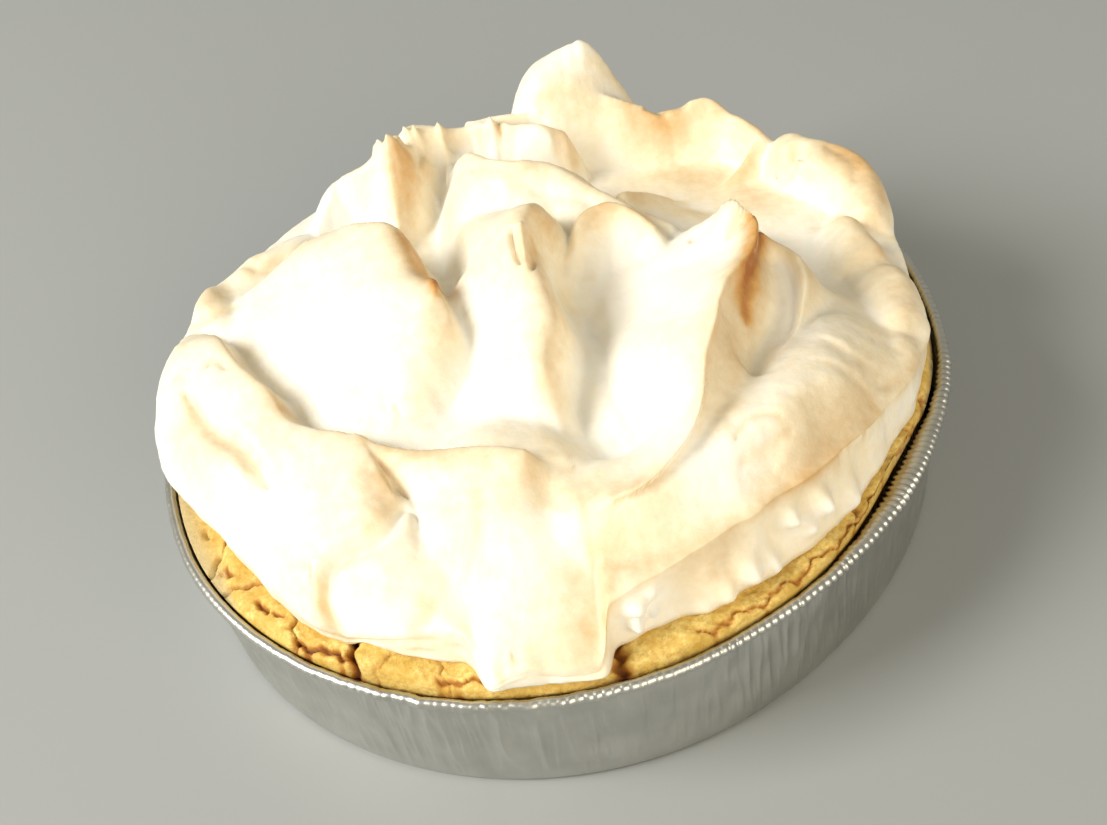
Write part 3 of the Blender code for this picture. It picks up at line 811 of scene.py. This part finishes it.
# Furrows pressed into the swirls: line (x, y), depth, half width.
FURROWS = {
    "valley": ([(-18, 50), (-21, 38), (-21, 22), (-18, 8)], 10, 5),
    "back_hollow": ([(20, 47), (30, 44), (42, 38), (52, 26), (57, 8), (58, -2)], 7, 8),
    "between": ([(8, 7), (6, -8), (7, -22), (11, -40)], 7, 5),
    "fin_gap": ([(46.5, -10), (45.5, -18), (42, -26), (38, -34)], 3.5, 2.6),
    "front_fold": ([(-32.5, -50), (-37, -56.5), (-44, -58.5), (-46.3, -62), (-45.5, -67)],
                   2.8, 1.9),
}
print(len(SWIRLS), "main swirls and", len(FURROWS), "furrows")

# %% [markdown]
# A crest is only a few points, so first a smooth line is drawn through them. A
# Catmull-Rom curve does it: it passes through every point and needs no handles.

# %% Meringue: a smooth line and the distance to it
def smooth_line(points, run=1.5):
    """A smooth line through a few points, in runs about this long."""
    points = np.array(points, float)
    longest = np.hypot(*np.diff(points[:, :2], axis=0).T).max()
    steps = max(math.ceil(longest / run), 1)
    if len(points) == 2:
        share = np.linspace(0, 1, steps + 1)[:, None]
        return points[0] * (1 - share) + points[1] * share
    ends = (2 * points[0] - points[1], 2 * points[-1] - points[-2])
    whole = np.vstack([ends[0], points, ends[1]])
    t = np.linspace(0, 1, steps, endpoint=False)[:, None]
    runs = []
    for a, b, c, d in zip(whole, whole[1:], whole[2:], whole[3:]):
        curve = 2 * b + (c - a) * t + (2 * a - 5 * b + 4 * c - d) * t ** 2
        runs.append(0.5 * (curve + (3 * b - a - 3 * c + d) * t ** 3))
    runs.append(points[-1:])
    return np.vstack(runs)


def from_run(a, b, x, y):
    """How points x, y lie to the run a-b: share along it, distance, and side of it."""
    run = b[:2] - a[:2]
    length = max(float(np.hypot(*run)), 1e-6)
    share = np.clip(((x - a[0]) * run[0] + (y - a[1]) * run[1]) / length ** 2, 0, 1)
    away = np.hypot(x - a[0] - share * run[0], y - a[1] - share * run[1])
    side = (run[0] * (y - a[1]) - run[1] * (x - a[0])) / length
    return share, away, side, run / length


def distance(line, x, y):
    """Distance of the points x, y from a smooth line."""
    path = smooth_line(line)
    return np.min([from_run(a, b, x, y)[1] for a, b in zip(path, path[1:])], axis=0)


print("runs in the fin's crest:", len(smooth_line(SWIRLS["fin"][0])) - 1)

# %% [markdown]
# Every short run of a crest makes its own tent of height over the sheet, and the
# swirl is the upper edge of all those tents. That keeps the inside of a bend clean,
# where the nearest point of the crest would jump.

# %% Meringue: the surface of one swirl
def swirl_surface(swirl, x, y):
    """Height of one swirl over x, y, with the crest height and heading it comes from."""
    line, left, right, soft, _ = swirl
    height = np.full(x.shape, -np.inf)
    crest = np.zeros(x.shape)
    heading = np.zeros((2,) + x.shape)
    path = smooth_line(line)
    for a, b in zip(path, path[1:]):
        share, away, side, along = from_run(a, b, x, y)
        leftness = np.clip(0.5 + 0.5 * side / np.maximum(away, 1e-6), 0, 1)
        reach = right[0] + (left[0] - right[0]) * leftness
        form = right[1] + (left[1] - right[1]) * leftness
        top = a[2] + share * (b[2] - a[2])
        here = top - FALL * ((np.hypot(away, soft) - soft) / reach) ** form
        higher = here > height
        height = np.where(higher, here, height)
        crest = np.where(higher, top, crest)
        heading[0] = np.where(higher, along[0], heading[0])
        heading[1] = np.where(higher, along[1], heading[1])
    return height, crest, heading


ridge_top = swirl_surface(SWIRLS["ridge"], np.array([2.0]), np.array([8.0]))[0]
print("the ridge stands", round(float(ridge_top[0]), 1), "mm high")


# %% Meringue: all the swirls and furrows together
def wander(x, y):
    """Bend the map a little, so that no crest runs in too clean a curve."""
    return (x + np.sin(0.21 * y + 1.3) + 0.6 * np.sin(0.33 * x + 0.17 * y),
            y + np.sin(0.19 * x + 0.4) + 0.6 * np.sin(0.29 * y - 0.13 * x + 2))


def melt(heights):
    """The highest of several surfaces, with soft joints between them."""
    highest = heights.max(axis=0)
    return highest + MELT * np.log(np.exp((heights - highest) / MELT).sum(axis=0))


def main_form(x, y):
    """Height of the main swirls over x, y, and how far their leaning crests shift."""
    wx, wy = wander(x, y)
    dome = DOME_TOP - DOME_FALL * (np.hypot(x, y) / DOME_RADIUS) ** 3
    surfaces = [(swirl, *swirl_surface(swirl, wx, wy)) for swirl in SWIRLS.values()]
    height = melt(np.array([dome] + [surface[1] for surface in surfaces]))
    for line, depth, width in FURROWS.values():
        height -= depth * np.exp(-(distance(line, wx, wy) / width) ** 2)
    shift = np.zeros((2,) + x.shape)
    for swirl, own, crest, heading in surfaces:
        near_crest = np.clip((own - crest + 6) / 6, 0, 1) ** 2
        on_top = np.clip(1 - (height - own) / 2, 0, 1)
        lean = swirl[4] * near_crest * on_top
        shift += lean * np.array([heading[1], -heading[0]])
    return height, shift


middle = main_form(np.zeros(1), np.zeros(1))[0]
print("in the middle of the pie the meringue is", round(float(middle[0]), 1), "mm high")

# %% [markdown]
# The finer strokes are relief on the main form: a line, how far it stands out or sinks
# in, and its half widths on its left and right. A sharp side and a soft side make a
# fold, and two soft sides make a ripple. The last number is how much browner it makes
# the skin: oven browning on tips that stand out, painted shade in furrows and creases.

# %% Meringue: the fine strokes
# name: line (x, y), height, half widths left and right, browning (painted shade in furrows)
STROKES = {
    "fin_hook": ([(39, -2), (43, -3), (44.5, -7.5)], 1.5, 1.8, 1.4, 0.1),
    "fin_eye": ([(39.6, -6.5), (41, -5.4), (42.2, -6.6)], -1.6, 1.2, 1.2, 0.35),
    "fin_notch": ([(33.5, 0.5), (37, -0.8)], -2.2, 1.3, 1.3, 0.35),
    "fin_under": ([(46, -4.5), (45, -8.5), (42.5, -14), (40, -20), (38.5, -26)], -0.8, 1.7, 1.2, 0.42),
    "slit_left": ([(-2.2, 6), (-2.0, 1), (-1.6, -3)], -1.8, 0.8, 0.8, 0.3),
    "slit_right": ([(1.9, 5), (1.2, 0), (0.6, -5)], -1.6, 0.9, 0.7, 0.35),
    "slit_wall": ([(0, 6), (-0.3, 0), (-0.6, -4)], 0.9, 0.9, 0.9, 0.1),
    "dollop_curl": ([(-26, 17), (-23.5, 13), (-22, 7)], -0.9, 0.7, 1.4, 0.25),
    "dollop_tip": ([(-20.5, 5), (-19.5, 1), (-21, -5)], 1.2, 0.8, 2.0, 0.4),
    "left_curl": ([(-69, -4.5), (-67, -3.7), (-65, -7)], -0.7, 0.7, 0.9, 0.25),
    "left_crease": ([(-73.3, -8), (-67.6, -18.5), (-61, -27.3), (-57, -35.4)],
                    -1.5, 1.2, 2.4, 0.45),
    "left_shoulder": ([(-76, -4), (-70, -20), (-62, -32)], 0.8, 2.5, 2.5, 0.1),
    "notch_upper": ([(-35.5, -38.5), (-33.2, -41), (-31, -46)], -1.0, 1.6, 0.7, 0.3),
    "notch_lower": ([(-37.5, -40), (-35.5, -46), (-34.4, -50)], -0.6, 2.6, 2.6, 0.15),
    "mark_a": ([(-31, -23.5), (-30, -26)], -0.5, 0.6, 0.6, 0.3),
    "mark_b": ([(-28, -33), (-25, -36)], -0.4, 0.6, 0.8, 0.2),
    "crescent_a": ([(30.3, -53.5), (33, -50.5), (36.5, -49), (39.5, -50)], -0.5, 0.8, 1.1, 0.28),
    "crescent_b": ([(30.4, -56.8), (35.5, -54.6), (40.9, -51.5)], -0.5, 0.8, 1.3, 0.28),
    "front_dimple": ([(-6, -52), (-3, -55.5)], -1.2, 3.4, 3.4, 0.24),
    "fold_a": ([(50, -37), (55, -39), (60, -43)], -0.4, 0.8, 2.4, 0.1),
    "fold_b": ([(53, -31), (60, -36), (67, -36)], -0.5, 1.2, 2.6, 0.1),
    "crease_right": ([(61, -38.6), (67, -35.5), (75, -27)], -0.7, 1.2, 2.0, 0.2),
    "knob_side": ([(59, 34), (61, 31.5), (63.5, 33), (65, 30)], -3.0, 1.3, 1.3, 0.25),
    "knob_dent": ([(70, 31), (74, 25), (73, 20)], -0.8, 2.2, 2.2, 0.1),
    "lobe_crease": ([(62, 15), (70, 12), (79, 8)], -1.6, 1.2, 1.6, 0.25),
    "lobe_crease_b": ([(64, -2), (72, -3), (82, -8)], -0.7, 1.4, 2.0, 0.15),
    "swoop_lip": ([(8, 9), (13, 16), (20, 17), (27, 9)], 0.8, 1.2, 2.0, 0.15),
    "mid_fold": ([(-8, 40), (4, 30), (16, 22)], -0.8, 1.0, 2.0, 0.1),
    "peak_edge": ([(8, 70), (13, 73), (20.5, 71), (26, 70), (29, 66)], 0.0, 1.6, 1.6, 0.25),
    "rim_lump": ([(44, 55), (50, 52)], 1.4, 3.0, 2.0, 0.0),
    "rim_edge": ([(8, 60.5), (16, 60.8), (25, 59.3), (33, 57.5)], 1.0, 1.8, 0.9, 0.03),
    "rim_crease": ([(35, 60), (38, 54), (40, 48)], -1.0, 1.0, 1.6, 0.05),
    "leaf_edge": ([(-26, 52), (-27, 44), (-28, 36)], 1.4, 2.0, 0.8, 0.1),
    "leaf_fold": ([(-40, 51), (-37, 44), (-35, 36)], -0.7, 1.2, 1.6, 0.05),
    "oval_lump": ([(3, 51.5), (10.5, 50.5)], 2.4, 1.9, 2.2, -0.3),
    "ribbon_gap": ([(-13, 57), (-7, 56.5), (-3.5, 55.5)], -3.2, 1.6, 1.3, 0.05),
    "ribbon_bar": ([(-8, 61), (0, 60.5), (9, 59)], 1.4, 1.2, 1.2, -0.1),
    "ribbon_loop": ([(-2.5, 59), (-2.2, 55), (-3, 52)], 1.6, 0.9, 0.9, 0),
    "ribbon_spot": ([(-0.6, 57), (-0.4, 55)], -1.0, 0.8, 0.8, 0.6),
    "under_ribbon": ([(2, 56.5), (8, 56), (13, 54)], -1.6, 1.2, 1.0, 0.1),
    "flake_a": ([(-25.5, 57), (-23, 54)], 2.4, 0.9, 1.0, 0),
    "flake_d": ([(-30, 56), (-28, 52.5)], 2.2, 0.7, 0.9, 0),
    "flake_e": ([(-22.5, 60), (-21, 57), (-22, 54)], 1.6, 0.6, 0.8, 0),
    "flake_f": ([(-16.5, 55), (-18.5, 52), (-18, 47)], 1.8, 0.7, 0.9, 0.05),
    "flake_b": ([(-20, 59), (-18.5, 55), (-20, 51)], 2.4, 0.8, 1.1, 0.05),
    "flake_c": ([(-14.5, 60), (-13.5, 56), (-15, 51)], 1.8, 0.8, 0.8, 0.1),
    "flap_fold": ([(-27.5, -68.6), (-30, -70.2), (-32.5, -71.8)], -1.0, 0.5, 2.6, 0.1),
    "drip_hole": ([(-18.7, -80), (-18.5, -81.5)], -2.5, 0.9, 0.9, 0.5),
    "drip_lip": ([(-16.6, -79), (-16.8, -82), (-18.5, -83)], 1.2, 0.8, 0.8, 0),
    "lobe_left": ([(-78, 24), (-70, 22), (-62, 26)], -1.4, 1.2, 1.8, 0.2),
    "lobe_left_b": ([(-66, 41), (-60, 36), (-54, 37)], -1.2, 1.1, 1.6, 0.15),
}
STROKE_RUN = 0.7


def relief(x, y):
    """Height and browning that the fine strokes add over x, y; in furrows that browning is painted
    shade.
    """
    height = np.zeros(x.shape)
    brown_and_shade = np.zeros(x.shape)
    for line, tall, left, right, burnt in STROKES.values():
        nearest = np.full(x.shape, np.inf)
        path = smooth_line(line, STROKE_RUN)
        for i, (a, b) in enumerate(zip(path, path[1:])):
            share, away, side, _ = from_run(a, b, x, y)
            along = (i + share) / (len(path) - 1)
            taper = 1 / (0.35 + 0.65 * np.sqrt(np.clip(4 * along * (1 - along), 0, 1)))
            scaled = away * taper / np.where(side > 0, left, right)
            nearest = np.minimum(nearest, scaled)
        share = np.exp(-nearest ** 2)
        height += tall * share
        brown_and_shade += burnt * share
    return height, brown_and_shade


print(len(STROKES), "fine strokes")

# %% [markdown]
# Now the sheet. A square grid is mapped onto a disc, which spreads its squares evenly
# and leaves no pole in the middle. Each point is put on the landscape, and the last
# few millimetres roll over towards the side.

# %% Meringue: the top of the sheet
LEAST_RISE = 1.4        # how far the sheet always rises from its edge
RISE_SOFT = 0.7


def edge_wobble(angle):
    """Small unevenness of the sheet's edge, in millimetres."""
    slow = ring_noise(angle, 0.5, 40, 1, 31) - 0.5
    return 1.6 * slow + 0.9 * (ring_noise(angle, 0.5, 95, 1, 32) - 0.5)


def sheet_edge(angle):
    """Radius and height of the sheet's uneven edge."""
    return (edge_radius(angle) + edge_wobble(angle),
            brow_height(angle) + 0.5 * edge_wobble(angle + 0.8))


def sheet_place(sheet):
    """Where the points of the flat sheet (-1..1 each way) go, and their browning."""
    disc = sheet * np.sqrt(1 - sheet[::-1] ** 2 / 2)
    angle = np.arctan2(disc[1], disc[0])
    edge, brow = sheet_edge(angle)
    out = np.hypot(*disc)
    width = roll_width(angle)
    roll = np.clip((out - 1) * edge / width + 1, 0, 1) * math.pi / 2
    radius = np.where(roll > 0, edge - width + width * np.sin(roll), out * edge)
    x, y = radius * np.cos(angle), radius * np.sin(angle)
    height, shift = main_form(x, y)
    fine, brown_and_shade = relief(x, y)
    height = height + fine
    rise = LEAST_RISE + RISE_SOFT * np.logaddexp(0, (height - brow - LEAST_RISE) / RISE_SOFT)
    z = brow + rise * np.cos(roll)
    x, y = np.array([x, y]) + shift * np.cos(roll)
    return np.array([x, y, z]).T, brown_and_shade


sheet_bm = bmesh.new()
bmesh.ops.create_grid(sheet_bm, x_segments=GRID, y_segments=GRID, size=1)
flat = np.array([vert.co[:2] for vert in sheet_bm.verts]).T
placed, stroke_brown_and_shade = sheet_place(flat)
print("sheet:", len(placed), "points, highest", round(float(placed[:, 2].max()), 1), "mm")

# %% [markdown]
# The open edge is drawn down the side ring by ring, tucked under and closed, just as
# a spatula seals the meringue to the crust. The knife left lumps along the foot at
# the front right, where more of the side shows.

# %% Meringue: the side
# Lumps on the side: angle, share of the way down, how far out, half widths round and down.
SIDE_LUMPS = [
    (-84.5, 0.3, 3.4, 2.0, 0.14), (-82, 0.2, 2.4, 1.6, 0.1), (-85, 0.62, 3.6, 1.3, 0.1),
    (-82.5, 0.6, 2.4, 1.3, 0.07), (-75, 0.9, 2.0, 2.6, 0.16), (-71.5, 0.82, 2.8, 2.2, 0.16),
    (-67.5, 0.7, 4.2, 2.6, 0.2), (-63.5, 0.82, 2.4, 1.8, 0.14), (-59, 0.35, 3.2, 1.9, 0.14),
    (-56.5, 0.62, 3.0, 2.0, 0.16), (-53, 0.45, 3.6, 2.0, 0.2), (-47, 0.8, 2.2, 2.4, 0.2),
    (-77, 0.45, -1.4, 3.0, 0.25), (-62, 0.5, -1.4, 2.0, 0.25), (-43, 0.5, -0.8, 3.0, 0.3),
]


SIDE_RINGS = 12


def side_lumps(angle, share):
    """How far the lumps stand out from the side, in millimetres."""
    total = 0.8 * (ring_noise(angle, share, 60, 4, 33) - 0.5) * math.sin(math.pi * share)
    for at, level, out, half_round, half_down in SIDE_LUMPS:
        off = np.radians(degrees_from(angle, at)) * MERINGUE_REACH
        total = total + out * np.exp(-(off / half_round) ** 2 - ((share - level) / half_down) ** 2)
    return total * smoothstep(share, 0.05, 0.3)


def side_ring(angle, step):
    """Radius and height of one ring: down the side, then the foot, then the floor."""
    edge, brow = sheet_edge(angle)
    under = crust_height(angle) + lobed(angle, OVERHANG, HEM_LOBES)
    foot = recess_radius(angle) - 2 * GAP
    if step == "foot":
        return foot, under - 0.8
    if step == "floor":
        return foot, np.full_like(angle, RECESS_FLOOR + GAP)
    return (edge + foot_out(angle) * step ** 1.4 + side_lumps(angle, step),
            brow + (under - brow) * step)


def draw_down(bm, toast_and_shade_layer):
    """Extrude the sheet's edge down the side, in under it, and close the bottom."""
    edges = [edge for edge in bm.edges if edge.is_boundary]
    for step in [*np.linspace(0.09, 1, SIDE_RINGS), "foot", "floor"]:
        edges, verts = extruded(bm, edges)
        angle = np.array([math.atan2(vert.co.y, vert.co.x) for vert in verts])
        radius, z = side_ring(angle, step)
        share = 1 if isinstance(step, str) else step
        # Down the side the browning eases towards an ivory tone with noise, and is paler on the lumps
        # that stand out: a painted highlight where they catch the light.
        tone = 0.2 + 0.35 * ring_noise(angle, z / 40, 40, 5, 34) - 0.06 * side_lumps(angle, share)
        for vert, place, aim in zip(verts, from_polar(angle, radius, z), tone):
            vert.co = Vector(place) * MM
            vert[toast_and_shade_layer] += 0.4 * (aim - vert[toast_and_shade_layer])
    bmesh.ops.edgeloop_fill(bm, edges=edges)
    bmesh.ops.recalc_face_normals(bm, faces=bm.faces)


print(len(SIDE_LUMPS), "lumps on the side")

# %% [markdown]
# The oven browns what stands out: the dry crests and tips first, then the broad backs
# of the swirls, and hardly the hollows between them. To find what stands out, the
# height of each point is compared with the mean height around it. The sheet's points
# lie in rows, so that mean is a quick blur. Two blurs are used: a narrow one for
# crests and a wide one for backs. The same browning number also carries painted shade
# on slopes turned away from the window, in some hollows, folds and creases.

# %% Meringue: a quick blur
def blurred(values, reach):
    """Mean over a square of so many rows each way, three times over."""
    for _ in range(3):
        for axis in (0, 1):
            padded = np.pad(values, [(reach + 1, reach) if a == axis else (0, 0) for a in (0, 1)],
                            mode="edge")
            total = np.cumsum(padded, axis=axis)
            length = values.shape[axis]
            after = np.take(total, range(2 * reach + 1, 2 * reach + 1 + length), axis=axis)
            before = np.take(total, range(length), axis=axis)
            values = (after - before) / (2 * reach + 1)
    return values


print("blur keeps a flat sheet flat:", float(blurred(np.ones((9, 9)), 1).max()))

# %% Meringue: oven browning and painted shade in patches and bands
# Patches made paler or browner: middle (x, y), radius, how much browner. The browner ones in the back
# hollow and on the knob at the back right are painted shade; the others even out the browning in
# places.
SHADE_AND_BROWNING_PATCHES = [
    (26, 53, 12, 0.21), (40, 50, 11, 0.22), (50, 40, 10, 0.24), (54, 29, 9, 0.2), (73, 25, 9, 0.1),
    (57, 6, 8, -0.1), (45, 53, 5, -0.1), (15, -38, 6, -0.1), (6, 51, 5, -0.2),
    (-50, -5, 20, -0.1), (-40, -62, 8, -0.1), (-44, 46, 9, -0.2), (-60, -42, 9, -0.1),
    (24, -57.5, 7, -0.25), (33, -53, 6, -0.15), (-8, -62, 9, -0.1), (4, -64, 7, 0.05),
    (-49, -65, 5, 0.2), (-2, -78, 6, 0.25), (21, 67, 12, -0.25), (30, -12, 14, -0.15),
]
# Bands made browner: line (x, y), half width, how much browner. Some follow crests and edges that the
# oven coloured; the others are painted shade in folds and valleys and on flanks turned from the
# window, such as the back of the left crest, the fold in front, the valley and the right of the fin.
TOASTED_AND_SHADED_BANDS = {
    "left flank": ([(-75, -17), (-74, -30), (-67, -42), (-57, -54)], 6, 0.1),
    "back of the left crest": ([(-64, 8.5), (-61.5, 2), (-57.5, -7), (-52, -18.5)], 3.5, 0.22),
    "low crest": ([(-52, -19), (-40, -31), (-27, -40), (-14, -46)], 3.2, 0.12),
    "below the low crest": ([(-33, -39), (-22, -47), (-12, -51)], 5, 0.06),
    "fold in front": ([(-36, -42), (-35, -50), (-38, -55)], 4, 0.15),
    "foot of that fold": ([(-42, -56), (-46, -58.5), (-48.5, -62), (-47, -66)], 1.7, 0.3),
    "left of the flap": ([(-29, -68.5), (-33, -71)], 2.2, 0.2),
    "middle of the front": ([(-6, -52), (-2, -55), (7, -58), (16, -59)], 6, 0.12),
    "foot of the sweep": ([(-1, -68), (12, -69), (25, -66.5), (41, -58.5), (58, -45)], 4.5, 0.3),
    "right lobes": ([(66, -2), (68, -17), (70, -29), (67, -35)], 8, 0.15),
    "knob": ([(72, 28), (76, 18), (70, 14)], 6, 0.12),
    "right of the fin": ([(46, -6), (43, -18), (38.5, -28), (33.5, -39), (28, -50)], 4, 0.2),
    "under the fin's tip": ([(46, -5), (44.5, -9), (42, -15), (38.5, -24)], 2.5, 0.2),
    "swoop": ([(6, 22), (17, 16), (27, 13)], 4, 0.13),
    "back of the middle crest": ([(14, 40), (27, 30), (38, 26)], 5, 0.15),
    "top of the ridge": ([(6, 12), (8, 6), (8, -1)], 4, 0.1),
    "right of the ridge": ([(7, 12), (6, 4), (5, -16)], 3, 0.07),
    "valley": ([(-22, 50), (-24, 42), (-21, 20), (-19, 2)], 5, 0.16),
    "right wall of the valley": ([(-15, 34), (-14, 20), (-17, 0)], 3, 0.1),
    "back rim": ([(21, 58), (36, 56), (46, 54), (55, 46)], 4, 0.04),
    "left lobes": ([(-70, 26), (-62, 34), (-50, 30)], 8, 0.12),
    "edge of the dollop": ([(-26, 16), (-19, -2), (-21, -12)], 2.5, 0.18),
    "flap": ([(1, -74), (-1, -81), (-8, -82), (-17, -80)], 3, 0.18),
    "right of the leaf": ([(-21, 58), (-22, 44), (-27, 40)], 4, 0.05),
}


print(len(SHADE_AND_BROWNING_PATCHES), "patches and", len(TOASTED_AND_SHADED_BANDS), "toasted bands")

# %% Meringue: browning and painted shade at each point
CREST_REACH = 5         # rows each way of the blur that finds crests
BACK_REACH = 17         # and of the one that finds broad backs
SLOPE_REACH = 2         # and of the one that smooths slopes
PLAIN_TOAST = 0.32      # browning of a plain stretch
CREST_TOAST = 0.06      # more for each millimetre that a crest stands out
BACK_TOAST = 0.012      # and for each millimetre of a broad back
# Painted shade: the slope term makes faces turned away from the window on the left browner.
SLOPE_SHADE = 0.08      # and where the surface turns away from the window


def slope_right(rows):
    """Slope of the sheet's surface towards +X, from neighbouring points."""
    x, y, z = rows
    xu, xv = np.gradient(x)
    yu, yv = np.gradient(y)
    zu, zv = np.gradient(blurred(z, SLOPE_REACH))
    area = xu * yv - xv * yu
    area = np.where(np.abs(area) < 1e-4, 1e-4, area)
    return (zu * yv - zv * yu) / area


def toasting_and_shading(points, strokes):
    """Browning 0..1 of the sheet's points, with painted shade on slopes turned from the window, in
    hollows and in creases.
    """
    rows = points.T.reshape(3, GRID + 1, GRID + 1)
    crest = np.clip(rows[2] - blurred(rows[2], CREST_REACH), -1.5, 1.5)
    back = np.clip(rows[2] - blurred(rows[2], BACK_REACH), -6, 5)
    away = np.clip(-slope_right(rows), -1.2, 1.2)
    toast_and_shade = PLAIN_TOAST + (CREST_TOAST * crest + BACK_TOAST * back + SLOPE_SHADE * away).ravel()
    toast_and_shade += 0.06 * lumps(points, 16, 2, 5) + 0.03 * lumps(points, 4, 2, 8)
    x, y, _ = points.T
    for px, py, reach, much in SHADE_AND_BROWNING_PATCHES:
        toast_and_shade += much * np.exp(-((x - px) ** 2 + (y - py) ** 2) / reach ** 2)
    for line, width, much in TOASTED_AND_SHADED_BANDS.values():
        toast_and_shade += much * np.exp(-(distance(line, x, y) / width) ** 2)
    return np.clip(toast_and_shade + 0.5 * strokes, 0, 1)


toast_and_shade = toasting_and_shading(placed, stroke_brown_and_shade)
print("toast: mean", round(float(toast_and_shade.mean()), 2), "darkest", round(float(toast_and_shade.max()), 2))

# %% [markdown]
# The skin of baked meringue is sugar and dried egg white: satin, faintly glossy, and a
# few hundredths of a millimetre thick over a white foam that light goes deep into.
# Colours run from cool white through ivory and a pale biscuit to caramel. Soft dimples
# 2 mm across and pores of under a millimetre come from bump.

# %% Material: baked meringue
meringue_skin, tree = blank_material("baked meringue")
position = add_node(tree, "ShaderNodeTexCoord", {}).outputs["Object"]
toasted_and_shaded = add_node(tree, "ShaderNodeAttribute", {}, attribute_name="toast_and_shade")
mottle = add_node(tree, "ShaderNodeTexNoise", {
    "Vector": position, "Scale": scale_for(2.38), "Detail": 4.0, "Roughness": 0.6})
uneven = add_node(tree, "ShaderNodeMapRange", {
    "Value": mottle.outputs["Fac"], "From Min": 0.3, "From Max": 0.7,
    "To Min": -0.05, "To Max": 0.05})
mixed = add_node(tree, "ShaderNodeMath", {
    0: toasted_and_shaded.outputs["Fac"], 1: uneven.outputs[0]}, operation="ADD")
# The ramp turns the browning number into colour, so its tan end also shows the painted shade in
# hollows, creases and on slopes turned from the window.
skin = add_node(tree, "ShaderNodeValToRGB", {"Fac": mixed.outputs[0]})
skin.color_ramp.elements[0].color = linear("F8F6F0")
skin.color_ramp.elements[1].color = linear("AA6A32")
for share, code in ((0.25, "F7F3E7"), (0.45, "F1E4C7"), (0.65, "DFC69C"), (0.82, "D2A25E")):
    skin.color_ramp.elements.new(share).color = linear(code)
dimples = add_node(tree, "ShaderNodeBump", {
    "Height": mottle.outputs["Fac"], "Strength": 0.25, "Distance": 0.6 * MM})
pores = add_node(tree, "ShaderNodeTexNoise", {
    "Vector": position, "Scale": scale_for(0.667), "Detail": 3.0})
pitted = add_node(tree, "ShaderNodeBump", {
    "Height": pores.outputs["Fac"], "Strength": 0.12, "Distance": 0.2 * MM,
    "Normal": dimples.outputs[0]})
shader = add_node(tree, "ShaderNodeBsdfPrincipled", {
    "Base Color": skin.outputs["Color"], "Roughness": 0.5, "Subsurface Weight": 0.25,
    "Subsurface Radius": (4 * MM, 2.8 * MM, 1.8 * MM), "Subsurface Scale": 1.0,
    "Normal": pitted.outputs[0]})
add_node(tree, "ShaderNodeOutputMaterial", {"Surface": shader.outputs[0]})
print("meringue's colours:", len(skin.color_ramp.elements))

# %% [markdown]
# The last touch is a low ripple over the whole meringue, because whipped egg white is
# never smooth. It moves each point along its own normal, so that it works on the
# steep side as well as on top. The flat bottom inside the crust is left alone.

# %% Meringue: finish the piece
RIPPLES = ((0.35, 9, 40), (0.12, 2.5, 41))  # height, size in millimetres, seed

for vert, place in zip(sheet_bm.verts, placed):
    vert.co = Vector(place) * MM
toast_and_shade_layer = sheet_bm.verts.layers.float.new("toast_and_shade")
for vert, amount in zip(sheet_bm.verts, toast_and_shade):
    vert[toast_and_shade_layer] = amount
draw_down(sheet_bm, toast_and_shade_layer)
meringue = add_piece("swirls_of_meringue", sheet_bm, meringue_skin, "meringue")
surface = get_points(meringue.data)
visible = surface[:, 2] > RECESS_FLOOR + 1
ripple = np.zeros(len(surface))
for height, size, seed in RIPPLES:
    ripple[visible] += height * lumps(surface[visible], size, 2, seed)
normals = np.empty(len(surface) * 3, np.float32)
meringue.data.vertices.foreach_get("normal", normals)
set_points(meringue.data, surface + ripple[:, None] * normals.reshape(-1, 3))
print(meringue.name, "has", count_triangles(meringue), "triangles")
